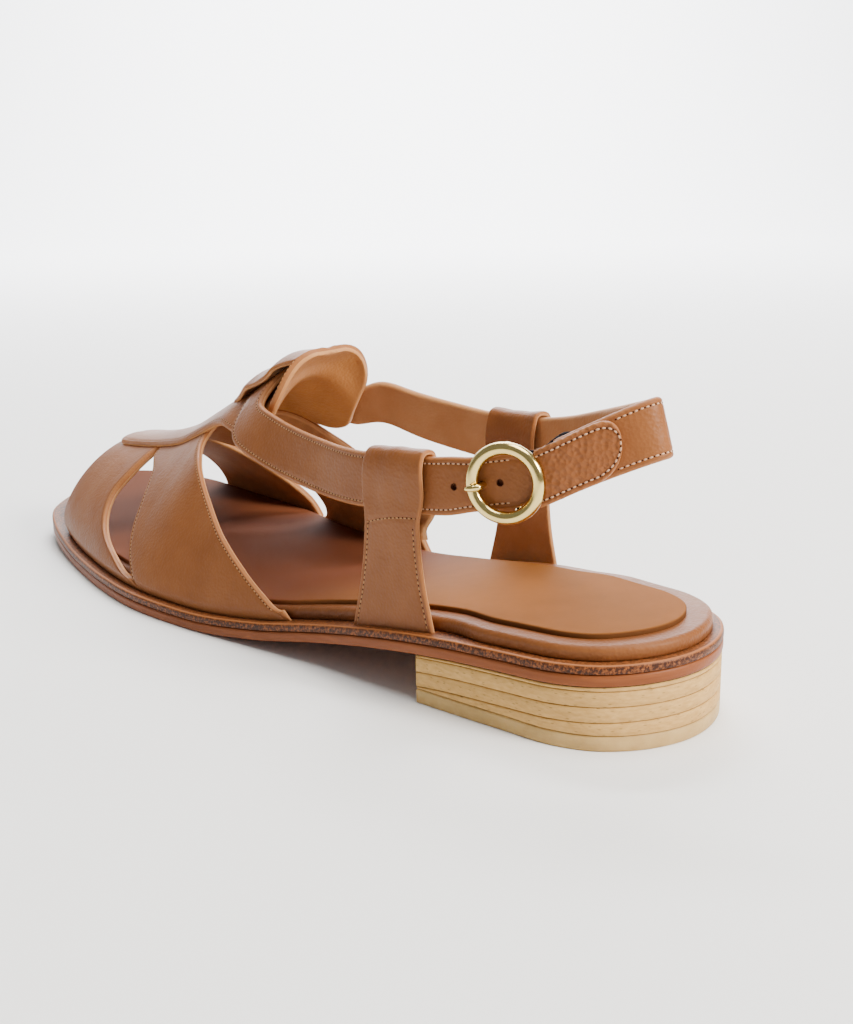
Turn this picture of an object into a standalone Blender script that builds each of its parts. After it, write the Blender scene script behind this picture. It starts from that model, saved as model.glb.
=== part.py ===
"""Fisherman sandal, left shoe, size EU 38, as separate closed solids.

Metres, +Z up. The toe points to -Y, the heel to +Y and the outer (lateral) side to +X.
The floor is z = 0. Sole shapes are worked out in last coordinates, whose x = 0 is the
heel's centre line, and an empty then centres the whole shoe on the origin.
"""
import math

import bmesh
import bpy
from mathutils import Matrix, Vector

# Sole
SOLE_LENGTH = 0.258
BALL_LATERAL = 0.0435
BALL_MEDIAL = 0.0418
HEEL_HEIGHT = 0.0145
TOE_SPRING = 0.0062
OUTSOLE_THICKNESS = 0.0027
WELT_THICKNESS = 0.0020
WELT_LEDGE = 0.0024

# Heel
HEEL_SEAT_LENGTH = 0.054
HEEL_INSET = 0.0002
BREAST_HOLLOW = 0.0020
TOP_LIFT_THICKNESS = 0.0035
LIFT_THICKNESS = 0.0034
RAND_BACK = 0.0010
RAND_BREAST = 0.0006

# Footbed and sock
FOOTBED_THICKNESS = 0.0032
FOOTBED_RIM = 0.0014
SOCK_THICKNESS = 0.0009
SOCK_MARGIN_LATERAL = 0.0047
SOCK_MARGIN_MEDIAL = 0.0062
SOCK_MARGIN_FRONT = 0.0007

# Upper
STRAP_LEATHER = 0.0020
INSTEP_HEIGHT = 0.0710
STRIP_RISE = 0.0014
STRIP_HALF_WIDTH = 0.0120
TONGUE_END = 0.0100
TONGUE_FROM = -0.0030
TONGUE_ARCH = 0.014
TONGUE_ARCH_HALF_WIDTH = 0.016
STRIP_FRONT = -0.0915
STRIP_FRONT_ROUND = 0.0040
TONGUE_ROUND = 0.0062
TONGUE_SKEW = 0.0010
STRAP_FOOT = 0.0022

# Bridge that holds the ankle strap down on the instep
BRIDGE_HALF_WIDTH = 0.0080
BRIDGE_THICKNESS = 0.0013
BRIDGE_SLACK = 0.0008
BRIDGE_SUNK = 0.0008
BRIDGE_FRONT_FRINGE = 0.0115
BRIDGE_REAR_FRINGE = 0.0064

# Ankle strap and stays
ANKLE_WIDTH = 0.0128
ANKLE_THICKNESS = 0.0022
STAY_SPREAD = 0.0263
ANKLE_HEIGHT = 0.0486
BRIDGE_REACH_FROM = 0.51
BRIDGE_REACH_OUT = 0.60
STAY_THICKNESS = 0.0012
LATERAL_STAY_BASE = 0.0252
MEDIAL_STAY_BASE = 0.0260
LOOP_WIDTH = 0.0185
STAY_WAIST = 0.0172
LOOP_SLACK = 0.0004
SEAM_LENGTH = 0.0020

# Buckle
RING_RADIUS = 0.00725
RING_WIRE = 0.00135
BAR_WIRE = 0.0008
PRONG_WIRE = 0.0007
PRONG_HOLE_AT = 0.00355
ELASTIC_THICKNESS = 0.0010
ELASTIC_WIDTH = 0.0134
ELASTIC_FOLD_WIDTH = 0.0104
ELASTIC_TUCK = 0.0110
TAB_LENGTH = 0.0150
TAB_THICKNESS = 0.0015
TIP_LENGTH = 0.0060
TIP_NARROWING = 0.92

# Clearance between pieces that touch on the real shoe
GAP = 0.0003

HEEL_END = SOLE_LENGTH / 2
TOTAL_SOLE = OUTSOLE_THICKNESS + WELT_THICKNESS
CENTRE_SHIFT = (BALL_MEDIAL - BALL_LATERAL) / 2

# Sole outline: share of the length from the heel, and the share of each ball half width
OUTLINE = (
    # length, lateral, medial
    (0.00, 0.00, 0.00),
    (0.03, 0.43, 0.45),
    (0.07, 0.57, 0.60),
    (0.12, 0.62, 0.65),
    (0.18, 0.67, 0.70),
    (0.255, 0.72, 0.74),
    (0.335, 0.76, 0.75),
    (0.42, 0.85, 0.80),
    (0.51, 0.95, 0.87),
    (0.60, 1.00, 0.90),
    (0.68, 0.96, 0.97),
    (0.76, 0.87, 1.00),
    (0.83, 0.77, 0.97),
    (0.89, 0.66, 0.91),
    (0.94, 0.51, 0.76),
    (0.975, 0.24, 0.57),
    (1.00, -0.18, 0.18),
)

# Underside of the outsole: share of the length, then shares of heel height and toe spring
PROFILE = (
    # length, of heel height, of toe spring
    (0.00, 1.00, 0.00),
    (0.12, 0.90, 0.00),
    (0.18, 0.84, 0.00),
    (0.255, 0.68, 0.00),
    (0.335, 0.42, 0.00),
    (0.42, 0.14, 0.00),
    (0.51, 0.00, 0.00),
    (0.76, 0.00, 0.00),
    (0.83, 0.00, 0.13),
    (0.89, 0.00, 0.34),
    (0.94, 0.00, 0.60),
    (1.00, 0.00, 1.00),
)

# Last above the straps: crest height, fullness of the section and its crest radius
LAST = (
    # length, share of instep height, exponent, crest radius as a share of ball width
    (0.45, 1.000, 1.15, 0.19),
    (0.48, 0.935, 1.15, 0.19),
    (0.50, 0.875, 1.15, 0.19),
    (0.54, 0.805, 1.17, 0.18),
    (0.58, 0.778, 1.20, 0.16),
    (0.61, 0.728, 1.21, 0.15),
    (0.64, 0.675, 1.22, 0.13),
    (0.69, 0.590, 1.30, 0.10),
    (0.75, 0.525, 1.38, 0.09),
    (0.81, 0.483, 1.48, 0.08),
    (0.865, 0.454, 1.60, 0.07),
    (0.92, 0.400, 1.70, 0.07),
)

# Edges of the two straps, from the lateral base (1) over the crest (0) to the medial base (-1),
# each as a share of the length from the heel
STRAP_EDGES = (
    # around, toe front, toe rear, wide front, wide rear
    (1.00, 0.857, 0.619, 0.613, 0.388),
    (0.88, 0.868, 0.665, 0.628, 0.414),
    (0.78, 0.868, 0.712, 0.646, 0.450),
    (0.68, 0.867, 0.740, 0.661, 0.490),
    (0.56, 0.866, 0.754, 0.675, 0.537),
    (0.43, 0.865, 0.751, 0.697, 0.589),
    (0.28, 0.864, 0.749, 0.738, 0.626),
    (0.00, 0.864, 0.750, 0.740, 0.640),
    (-0.28, 0.866, 0.750, 0.738, 0.585),
    (-0.43, 0.868, 0.744, 0.690, 0.534),
    (-0.56, 0.870, 0.730, 0.664, 0.501),
    (-0.68, 0.872, 0.706, 0.652, 0.478),
    (-0.80, 0.874, 0.684, 0.647, 0.460),
    (-1.00, 0.876, 0.675, 0.671, 0.446),
)

# Half width of the centre strip along the length
STRIP = (
    # length, share of strip half width
    (0.44, 1.24),
    (0.49, 1.19),
    (0.52, 1.34),
    (0.56, 1.27),
    (0.61, 1.05),
    (0.68, 1.00),
    (0.75, 0.85),
    (0.86, 0.70),
)

# Ankle strap mid line from its tip in the ring, forward, over the instep and round the heel
ANKLE_PATH = (
    # length, share of stay spread, share of ankle height, lower edge's lean out and back
    (0.110, 0.660, 1.105, 0.02, 0.05),
    (0.133, 0.783, 1.084, 0.03, 0.05),
    (0.171, 0.913, 1.040, 0.04, 0.02),
    (0.205, 0.980, 1.012, 0.05, 0.00),
    (0.240, 1.000, 1.000, 0.07, 0.00),
    (0.305, 0.985, 0.965, 0.12, -0.03),
    (0.362, 0.900, 0.960, 0.22, -0.18),
    (0.442, 0.800, 0.985, 0.38, -0.25),
    (0.493, 0.745, 1.033, 0.45, -0.30),
    (0.517, 0.570, 1.140, 0.42, -0.48),
    (0.521, 0.300, 1.228, 0.22, -0.78),
    (0.520, 0.000, 1.262, 0.00, -0.88),
    (0.519, -0.300, 1.228, -0.22, -0.78),
    (0.515, -0.560, 1.150, -0.38, -0.50),
    (0.480, -0.775, 1.098, -0.26, -0.20),
    (0.440, -0.865, 1.045, -0.14, -0.08),
    (0.380, -0.960, 1.000, -0.06, -0.03),
    (0.300, -1.000, 0.977, -0.04, 0.00),
    (0.225, -0.890, 1.036, -0.02, 0.05),
    (0.160, -0.650, 1.130, 0.00, 0.10),
    (0.100, -0.340, 1.222, 0.00, 0.18),
    (0.054, -0.110, 1.295, 0.00, 0.32),
    (0.037, -0.010, 1.328, 0.04, 0.38),
    (0.044, 0.100, 1.315, 0.08, 0.32),
    (0.062, 0.285, 1.260, 0.06, 0.14),
    (0.082, 0.455, 1.200, 0.04, 0.08),
    (0.102, 0.600, 1.135, 0.03, 0.05),
)

COLOURS = {
    # colour, roughness, metallic
    "leather": ((0.31, 0.135, 0.060, 1.0), 0.45, 0.0),
    "sock_leather": ((0.43, 0.215, 0.085, 1.0), 0.55, 0.0),
    "edge_leather": ((0.20, 0.070, 0.025, 1.0), 0.60, 0.0),
    "sole_leather": ((0.42, 0.155, 0.070, 1.0), 0.55, 0.0),
    "leatherboard": ((0.58, 0.43, 0.21, 1.0), 0.65, 0.0),
    "rubber": ((0.46, 0.38, 0.20, 1.0), 0.50, 0.0),
    "elastic": ((0.015, 0.014, 0.014, 1.0), 0.80, 0.0),
    "brass": ((0.70, 0.50, 0.17, 1.0), 0.22, 1.0),
}


def clear_scene():
    for thing in list(bpy.data.objects):
        bpy.data.objects.remove(thing, do_unlink=True)


def new_collection(name):
    collection = bpy.data.collections.new(name)
    bpy.context.scene.collection.children.link(collection)
    return collection


def material(name):
    made = bpy.data.materials.get(name)
    if made is None:
        colour, roughness, metallic = COLOURS[name]
        made = bpy.data.materials.new(name)
        made.use_nodes = True
        shader = made.node_tree.nodes["Principled BSDF"]
        shader.inputs["Base Color"].default_value = colour
        shader.inputs["Roughness"].default_value = roughness
        shader.inputs["Metallic"].default_value = metallic
        made.diffuse_color = colour
    return made


def smooth_read(table, column, at):
    """Value of a table's column at a place in its first column, through a smooth curve."""
    rows = sorted(table)
    places = [row[0] for row in rows]
    values = [row[column] for row in rows]
    if at <= places[0]:
        return values[0]
    if at >= places[-1]:
        return values[-1]
    i = max(k for k in range(len(rows) - 1) if places[k] <= at)
    span = places[i + 1] - places[i]
    step = (values[i + 1] - values[i]) / span
    before = step
    after = step
    if i > 0:
        before = (values[i + 1] - values[i - 1]) / (places[i + 1] - places[i - 1])
    if i + 2 < len(rows):
        after = (values[i + 2] - values[i]) / (places[i + 2] - places[i])
    f = (at - places[i]) / span
    rise = values[i + 1] - values[i]
    return (
        values[i]
        + rise * f * f * (3 - 2 * f)
        + span * before * f * (1 - f) ** 2
        - span * after * f * f * (1 - f)
    )


def ease(low, high, at):
    f = min(max((at - low) / (high - low), 0.0), 1.0)
    return f * f * (3 - 2 * f)


def share_of(y):
    return (HEEL_END - y) / SOLE_LENGTH


def y_of(share):
    return HEEL_END - share * SOLE_LENGTH


def turn_of(share):
    """Angle that spaces the outline's points closely at the round heel and toe."""
    return math.acos(1 - 2 * min(max(share, 0.0), 1.0))


OUTLINE_TURNS = tuple((turn_of(row[0]), row[1], row[2]) for row in OUTLINE)


def side_x(share, side):
    """Sole edge on the lateral (+1) or medial (-1) side."""
    if side > 0:
        return smooth_read(OUTLINE_TURNS, 1, turn_of(share)) * BALL_LATERAL
    return -smooth_read(OUTLINE_TURNS, 2, turn_of(share)) * BALL_MEDIAL


def underside(y):
    share = share_of(y)
    heel = smooth_read(PROFILE, 1, share) * HEEL_HEIGHT
    toe = smooth_read(PROFILE, 2, share) * TOE_SPRING
    return max(heel + toe, 0.0)


def welt_top(y):
    return underside(y) + TOTAL_SOLE


def outline_point(turn, inset):
    """Point of the sole outline, moved inward; turn runs 0 at the heel to pi at the toe
    down the lateral side and on to 2 pi back up the medial side."""
    def raw(angle):
        share = (1 - math.cos(angle)) / 2
        side = 1 if math.sin(angle) >= 0 else -1
        return Vector((side_x(share, side), y_of(share)))

    step = 0.01
    along = (raw(turn + step) - raw(turn - step)).normalized()
    inward = Vector((along.y, -along.x))
    side = 1 if math.sin(turn) >= 0 else -1
    distance = inset(share_of(raw(turn).y), side) if callable(inset) else inset
    return raw(turn) + inward * distance


def mesh_object(name, vertices, faces, collection, material_name):
    mesh = bpy.data.meshes.new(name)
    mesh.from_pydata([tuple(v) for v in vertices], [], faces)
    mesh.update()
    made = bpy.data.objects.new(name, mesh)
    collection.objects.link(made)
    body = bmesh.new()
    body.from_mesh(mesh)
    bmesh.ops.remove_doubles(body, verts=body.verts, dist=0.000005)
    bmesh.ops.recalc_face_normals(body, faces=body.faces)
    body.to_mesh(mesh)
    body.free()
    mesh.materials.append(material(material_name))
    return made


def sole_layer(name, collection, material_name, levels, end_share=None, points=33, hollow=0.0):
    """Stack of outline loops, each with its own inset and height, closed above and below.

    With an end share the layer stops there in a breast, which is hollowed by an arc.
    """
    if end_share is None:
        turns = [math.pi * i / points for i in range(points + 1)]
    else:
        last = turn_of(end_share)
        turns = [last * i / points for i in range(points + 1)]
    vertices = []
    loops = []
    for inset, height in levels:
        lateral = [outline_point(t, inset) for t in turns]
        medial = [outline_point(2 * math.pi - t, inset) for t in turns]
        medial[0] = lateral[0]
        if end_share is None:
            medial[-1] = lateral[-1]
        else:
            lateral[-1] = Vector((lateral[-1].x, y_of(end_share)))
            medial[-1] = Vector((medial[-1].x, y_of(end_share)))
        rows = []
        for i, (right, left) in enumerate(zip(lateral, medial)):
            middle = (right + left) / 2
            if hollow and i == len(turns) - 1:
                middle = middle + Vector((0.0, hollow))
            row = []
            for point in (right, middle, left):
                row.append(len(vertices))
                vertices.append((point.x, point.y, height(point.y)))
            rows.append(row)
        loops.append(rows)
    faces = []
    bottom, top = loops[0], loops[-1]
    for rows, flip in ((bottom, False), (top, True)):
        for i in range(len(turns) - 1):
            for j in (0, 1):
                quad = [rows[i][j], rows[i + 1][j], rows[i + 1][j + 1], rows[i][j + 1]]
                faces.append(quad[::-1] if flip else quad)
    for low, high in zip(loops[:-1], loops[1:]):
        for i in range(len(turns) - 1):
            for j in (0, 2):
                faces.append([low[i][j], low[i + 1][j], high[i + 1][j], high[i][j]])
        if end_share is not None:
            for j in (0, 1):
                faces.append([low[-1][j], low[-1][j + 1], high[-1][j + 1], high[-1][j]])
    return mesh_object(name, vertices, clean_faces(faces, vertices), collection, material_name)


def clean_faces(faces, vertices):
    """Drops repeated corners, where a loop's two sides meet in one point."""
    kept = []
    for face in faces:
        ring = []
        for index in face:
            place = Vector(vertices[index])
            if all((place - Vector(vertices[other])).length > 0.000005 for other in ring):
                ring.append(index)
        if len(ring) > 2:
            kept.append(ring)
    return kept


def build_sole(collection):
    """Outsole and welt, bent along the underside's curve."""
    def outsole_top(y):
        return underside(y) + OUTSOLE_THICKNESS - GAP

    def welt_bottom(y):
        return underside(y) + OUTSOLE_THICKNESS

    sole_layer("outsole", collection, "sole_leather", ((0.0, underside), (0.0, outsole_top)))
    sole_layer("welt", collection, "edge_leather", ((0.0, welt_bottom), (0.0, welt_top)))


def build_heel(collection):
    """Stacked lifts between the outsole and the floor, the lowest of leather a wedge."""
    end = HEEL_SEAT_LENGTH / SOLE_LENGTH

    def seat(y):
        return underside(y) - GAP

    def rand_bottom(y):
        return underside(y) - RAND_BACK - (RAND_BREAST - RAND_BACK) * share_of(y) / end

    def below(start, depth):
        return lambda y: start(y) - depth

    def level(height):
        return lambda y: height

    lift_1_bottom = below(rand_bottom, LIFT_THICKNESS)
    lift_2_bottom = below(lift_1_bottom, LIFT_THICKNESS)
    stack = (
        # name, material, underside, top
        ("heel_rand", "leatherboard", rand_bottom, seat),
        ("heel_lift_1", "leatherboard", lift_1_bottom, below(rand_bottom, GAP)),
        ("heel_lift_2", "leatherboard", lift_2_bottom, below(lift_1_bottom, GAP)),
        ("heel_lift_3", "leatherboard", level(TOP_LIFT_THICKNESS), below(lift_2_bottom, GAP)),
        ("top_lift", "rubber", level(0.0), level(TOP_LIFT_THICKNESS - GAP)),
    )
    for name, finish, low, high in stack:
        levels = ((HEEL_INSET, low), (HEEL_INSET, high))
        sole_layer(name, collection, finish, levels, end, 16, BREAST_HOLLOW)


def footbed_inset(share, side):
    """The footbed is narrower where the straps and stays pass down beside it."""
    return WELT_LEDGE + (STRAP_LEATHER + GAP) * ease(0.14, 0.19, share)


def build_footbed(collection):
    """Wrapped footbed with a rounded rim, and the sock on it."""
    rim = FOOTBED_RIM

    def bottom(y):
        return welt_top(y) + GAP

    def at_height(drop):
        return lambda y: welt_top(y) + FOOTBED_THICKNESS - drop

    def inset(extra):
        return lambda share, side: footbed_inset(share, side) + extra

    levels = (
        (inset(0.0), bottom),
        (inset(0.0), at_height(rim)),
        (inset(0.3 * rim), at_height(0.3 * rim)),
        (inset(rim), at_height(0.0)),
    )
    sole_layer("footbed", collection, "leather", levels)

    def sock_inset(share, side):
        medial = 0.5 - 0.5 * side * ease(0.0, 0.06, share)
        rear = SOCK_MARGIN_LATERAL + (SOCK_MARGIN_MEDIAL - SOCK_MARGIN_LATERAL) * medial
        front = SOCK_MARGIN_FRONT + rim
        return footbed_inset(share, side) + rear + (front - rear) * ease(0.24, 0.42, share)

    def sock_bottom(y):
        return welt_top(y) + FOOTBED_THICKNESS + GAP

    def sock_top(y):
        return sock_bottom(y) + SOCK_THICKNESS

    sole_layer("sock", collection, "sock_leather", ((sock_inset, sock_bottom), (sock_inset, sock_top)))


def last_section(share):
    height = smooth_read(LAST, 1, share) * INSTEP_HEIGHT
    exponent = smooth_read(LAST, 2, share)
    crest = smooth_read(LAST, 3, share) * BALL_LATERAL
    return height, exponent, crest


def last_reach(share, side, crest):
    edge = abs(side_x(share, side)) - WELT_LEDGE
    return math.sqrt(edge * edge + crest * crest) - crest


def last_around(share, around):
    """Outer face of the straps: around is 1 at the lateral base, 0 at the crest and
    -1 at the medial base."""
    y = y_of(share)
    height, exponent, crest = last_section(share)
    base = welt_top(y) + GAP + STRAP_FOOT
    side = 1 if around >= 0 else -1
    angle = (1 - abs(around)) * math.pi / 2
    reach = last_reach(share, side, crest) * max(math.cos(angle), 0.0) ** (2 / exponent)
    x = side * math.sqrt(max((reach + crest) ** 2 - crest * crest, 0.0))
    z = base + (height - base) * math.sin(angle) ** (2 / exponent)
    return Vector((x, y, z))


def last_over(x, y):
    """Outer face of the straps over a place near the crest, an arch towards the tongue."""
    share = share_of(y)
    height, exponent, crest = last_section(share)
    base = welt_top(y) + GAP + STRAP_FOOT
    side = 1 if x >= 0 else -1
    reach = (math.sqrt(x * x + crest * crest) - crest) / last_reach(share, side, crest)
    z = base + (height - base) * max(1 - reach ** exponent, 0.0) ** (1 / exponent)
    arch = height - TONGUE_ARCH * (x / TONGUE_ARCH_HALF_WIDTH) ** 4
    z += (arch - z) * ease(TONGUE_FROM, TONGUE_END, y)
    return Vector((x, y, z))


def last_normal(x, y):
    step = 0.0015
    across = last_over(x + step, y) - last_over(x - step, y)
    along = last_over(x, y + step) - last_over(x, y - step)
    return across.cross(along).normalized()


def grid_object(name, rows, collection, material_name):
    """Open surface from rows of points."""
    vertices = [point for row in rows for point in row]
    wide = len(rows[0])
    faces = []
    for i in range(len(rows) - 1):
        for j in range(wide - 1):
            faces.append([i * wide + j, i * wide + j + 1, (i + 1) * wide + j + 1, (i + 1) * wide + j])
    mesh = bpy.data.meshes.new(name)
    mesh.from_pydata([tuple(v) for v in vertices], [], faces)
    mesh.update()
    if sum(face.normal.z * face.area for face in mesh.polygons) < 0:
        mesh.flip_normals()
    made = bpy.data.objects.new(name, mesh)
    collection.objects.link(made)
    mesh.materials.append(material(material_name))
    return made


def add_wall(thing, thickness):
    """Gives an open surface its wall, inward from the face that its points describe."""
    wall = thing.modifiers.new("wall", "SOLIDIFY")
    wall.thickness = thickness
    wall.offset = -1.0
    wall.use_even_offset = True
    wall.use_rim = True
    return wall


def bake(thing, collection):
    """Turns an object into a plain mesh with its modifiers applied."""
    graph = bpy.context.evaluated_depsgraph_get()
    mesh = bpy.data.meshes.new_from_object(thing.evaluated_get(graph))
    body = bmesh.new()
    body.from_mesh(mesh)
    bmesh.ops.remove_doubles(body, verts=body.verts, dist=0.000005)
    bmesh.ops.recalc_face_normals(body, faces=body.faces)
    body.to_mesh(mesh)
    body.free()
    name = thing.name
    place = thing.matrix_world.copy()
    bpy.data.objects.remove(thing, do_unlink=True)
    made = bpy.data.objects.new(name, mesh)
    made.matrix_world = place
    collection.objects.link(made)
    return made


def strap_band(name, front, rear, collection, across=6):
    """Strap over the last between two of the edges in the table."""
    arounds = [1.0]
    arounds += [1.0 - 2.0 * i / 30 for i in range(0, 31)]
    arounds += [-1.0]
    rows = []
    for k, around in enumerate(arounds):
        row = []
        for i in range(across + 1):
            start = smooth_read(STRAP_EDGES, front, around)
            stop = smooth_read(STRAP_EDGES, rear, around)
            share = start + (stop - start) * i / across
            point = last_around(share, around)
            if k in (0, len(arounds) - 1):
                point = point - Vector((0.0, 0.0, STRAP_FOOT))
            row.append(point)
        rows.append(row)
    return grid_object(name, rows, collection, "leather")


def strip_half_width(y):
    """Half width of the centre strip, rounded off at the tongue and at the front."""
    half = smooth_read(STRIP, 1, share_of(y)) * STRIP_HALF_WIDTH
    back = max((y - (TONGUE_END - TONGUE_ROUND)) / TONGUE_ROUND, 0.0)
    ahead = max(((STRIP_FRONT + STRIP_FRONT_ROUND) - y) / STRIP_FRONT_ROUND, 0.0)
    for reach in (back, ahead):
        half *= (1 - min(reach, 1.0) ** 3) ** (1 / 3)
    return half


def above_last(x, y, rise):
    return last_over(x, y) + last_normal(x, y) * rise


def centre_strip(collection):
    """Strip up the instep from the toe strap to the tongue's free end."""
    stops = [STRIP_FRONT + STRIP_FRONT_ROUND * f for f in (0.05, 0.3, 1.0)]
    long_part = TONGUE_END - TONGUE_ROUND - STRIP_FRONT - STRIP_FRONT_ROUND
    stops += [STRIP_FRONT + STRIP_FRONT_ROUND + long_part * i / 13 for i in range(1, 14)]
    stops += [TONGUE_END - TONGUE_ROUND * f for f in (0.8, 0.6, 0.4, 0.22, 0.08)]
    rows = []
    for y in stops:
        flare = ease(TONGUE_END - 3 * TONGUE_ROUND, TONGUE_END, y)
        row = []
        for step in range(-5, 6):
            x = strip_half_width(y) * step / 5
            back = y - TONGUE_SKEW * flare * x / STRIP_HALF_WIDTH
            row.append(above_last(x, back, STRIP_RISE))
        rows.append(row)
    return grid_object("upper", rows, collection, "leather")


def bridge_band(collection):
    """Band over the ankle strap, both ends let into the centre strip."""
    crest = [row for row in ANKLE_PATH if row[1] == 0.0 and row[0] > BRIDGE_REACH_FROM][0]
    centre = y_of(crest[0])
    half = ANKLE_WIDTH * abs(crest[4]) / 2 + BRIDGE_SLACK
    low = STRIP_RISE + BRIDGE_THICKNESS - BRIDGE_SUNK
    high = STRIP_RISE + 3 * GAP + ANKLE_THICKNESS + BRIDGE_SLACK + BRIDGE_THICKNESS
    stops = [centre - half - BRIDGE_FRONT_FRINGE * i / 5 for i in range(5, 0, -1)]
    stops += [centre - half + 2 * half * i / 4 for i in range(5)]
    stops += [centre + half + BRIDGE_REAR_FRINGE * i / 4 for i in range(1, 5)]
    rows = []
    for y in stops:
        fringe = BRIDGE_FRONT_FRINGE if y < centre else BRIDGE_REAR_FRINGE
        rise = low + (high - low) * (1 - ease(half, half + fringe, abs(y - centre)))
        rows.append([above_last(BRIDGE_HALF_WIDTH * i / 3, y, rise) for i in range(-3, 4)])
    return grid_object("bridge_band", rows, collection, "leather")


def join_solids(base, others, collection):
    """Boolean union of closed pieces into the first one."""
    for other in others:
        union = base.modifiers.new("join", "BOOLEAN")
        union.operation = "UNION"
        union.solver = "EXACT"
        union.object = other
        other.hide_render = True
        other.display_type = "WIRE"
    bpy.context.view_layer.update()
    made = bake(base, collection)
    for other in others:
        bpy.data.objects.remove(other, do_unlink=True)
    return made


def build_upper(collection, cutters):
    """Toe strap, wide strap, centre strip and bridge joined where they cross."""
    sheets = (
        (centre_strip(collection), STRAP_LEATHER),
        (strap_band("wide_strap", 3, 4, cutters, 8), STRAP_LEATHER),
        (strap_band("toe_strap", 1, 2, cutters), STRAP_LEATHER),
        (bridge_band(cutters), BRIDGE_THICKNESS),
    )
    pieces = []
    for sheet, thickness in sheets:
        add_wall(sheet, thickness)
        pieces.append(bake(sheet, cutters))
    made = join_solids(pieces[0], pieces[1:], collection)
    made.data.materials.clear()
    made.data.materials.append(material("leather"))
    return made


def slab(name, rows, thickness, collection, material_name):
    """Closed sheet of even thickness about rows of mid points, each row of equal length."""
    tall = len(rows)
    wide = len(rows[0])
    vertices = []
    for side in (-0.5, 0.5):
        for i in range(tall):
            for j in range(wide):
                along = rows[min(i + 1, tall - 1)][j] - rows[max(i - 1, 0)][j]
                across = rows[i][min(j + 1, wide - 1)] - rows[i][max(j - 1, 0)]
                vertices.append(rows[i][j] + across.cross(along).normalized() * thickness * side)
    other = tall * wide
    faces = []
    for i in range(tall - 1):
        for j in range(wide - 1):
            quad = [i * wide + j, i * wide + j + 1, (i + 1) * wide + j + 1, (i + 1) * wide + j]
            faces.append(quad[::-1])
            faces.append([index + other for index in quad])
    rim = [j for j in range(wide)]
    rim += [i * wide + wide - 1 for i in range(1, tall)]
    rim += [(tall - 1) * wide + j for j in range(wide - 2, -1, -1)]
    rim += [i * wide for i in range(tall - 2, 0, -1)]
    for one, two in zip(rim, rim[1:] + rim[:1]):
        faces.append([one, two, two + other, one + other])
    return mesh_object(name, vertices, faces, collection, material_name)


def ribbon(name, rows, thickness, collection, material_name):
    """Flat strap along rows of (mid point, half width vector)."""
    vertices = []
    for i, (middle, half) in enumerate(rows):
        ahead = rows[min(i + 1, len(rows) - 1)][0] - rows[max(i - 1, 0)][0]
        side = half.normalized()
        out = side.cross(ahead.normalized())
        out.normalize()
        step = out * thickness / 2
        vertices += [middle - half - step, middle + half - step, middle + half + step, middle - half + step]
    faces = [[0, 1, 2, 3][::-1]]
    for i in range(len(rows) - 1):
        for j in range(4):
            a = 4 * i + j
            b = 4 * i + (j + 1) % 4
            faces.append([a, b, b + 4, a + 4])
    end = 4 * (len(rows) - 1)
    faces.append([end, end + 1, end + 2, end + 3])
    return mesh_object(name, vertices, faces, collection, material_name)


def on_strip(x, y, lean_out, lean_back):
    """Mid point and width direction of the ankle strap where it lies on the centre strip."""
    plan = Vector((lean_out, lean_back)).normalized()
    reach = ANKLE_WIDTH / 2
    for attempt in range(4):
        low = above_last(x + plan.x * reach, y + plan.y * reach, STRIP_RISE)
        high = above_last(x - plan.x * reach, y - plan.y * reach, STRIP_RISE)
        reach *= ANKLE_WIDTH / (low - high).length
    lift = 3 * GAP + ANKLE_THICKNESS / 2
    return (low + high) / 2 + last_normal(x, y) * lift, (low - high).normalized()


def path_rows(samples):
    """Ankle strap's mid line and half width vector, through a smooth curve."""
    points = []
    leans = []
    for length, out, up, lean_out, lean_back in ANKLE_PATH:
        point = Vector((out * STAY_SPREAD, y_of(length), up * ANKLE_HEIGHT))
        lean = Vector((lean_out, lean_back, -math.sqrt(1 - lean_out ** 2 - lean_back ** 2)))
        if length > BRIDGE_REACH_FROM and abs(out) < BRIDGE_REACH_OUT:
            point, lean = on_strip(point.x, point.y, lean_out, lean_back)
        points.append(point)
        leans.append(lean)
    travelled = [0.0]
    for one, two in zip(points[:-1], points[1:]):
        travelled.append(travelled[-1] + (two - one).length)
    tables = []
    for k in range(3):
        tables.append(tuple((t, p[k], w[k]) for t, p, w in zip(travelled, points, leans)))
    rows = []
    for i in range(samples + 1):
        at = travelled[-1] * i / samples
        middle = Vector([smooth_read(table, 1, at) for table in tables])
        width = Vector([smooth_read(table, 2, at) for table in tables]).normalized()
        rows.append((middle, width * ANKLE_WIDTH / 2, at))
    return rows


def read_rows(rows, place):
    """Mid point, half width and outward direction at a distance along the ankle strap."""
    i = 0
    while i < len(rows) - 2 and rows[i + 1][2] < place:
        i += 1
    f = (place - rows[i][2]) / (rows[i + 1][2] - rows[i][2])
    middle = rows[i][0].lerp(rows[i + 1][0], f)
    half = rows[i][1].lerp(rows[i + 1][1], f)
    ahead = rows[min(i + 2, len(rows) - 1)][0] - rows[max(i - 1, 0)][0]
    return middle, half, ahead.cross(half).normalized()


def ring_frame(rows):
    """Ring's middle on the strap's mid line, as a frame: X back along the strap towards
    its tip, Y up across the strap and Z out of it."""
    reach = RING_RADIUS - RING_WIRE / 3
    i = min(range(len(rows)), key=lambda k: abs(rows[k][2] - reach))
    back = (rows[0][0] - rows[2 * i][0]).normalized()
    up = -rows[i][1].normalized()
    out = back.cross(up).normalized()
    up = out.cross(back).normalized()
    frame = Matrix((back, up, out)).transposed().to_4x4()
    frame.translation = rows[0][0] - back * reach
    return frame


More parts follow.
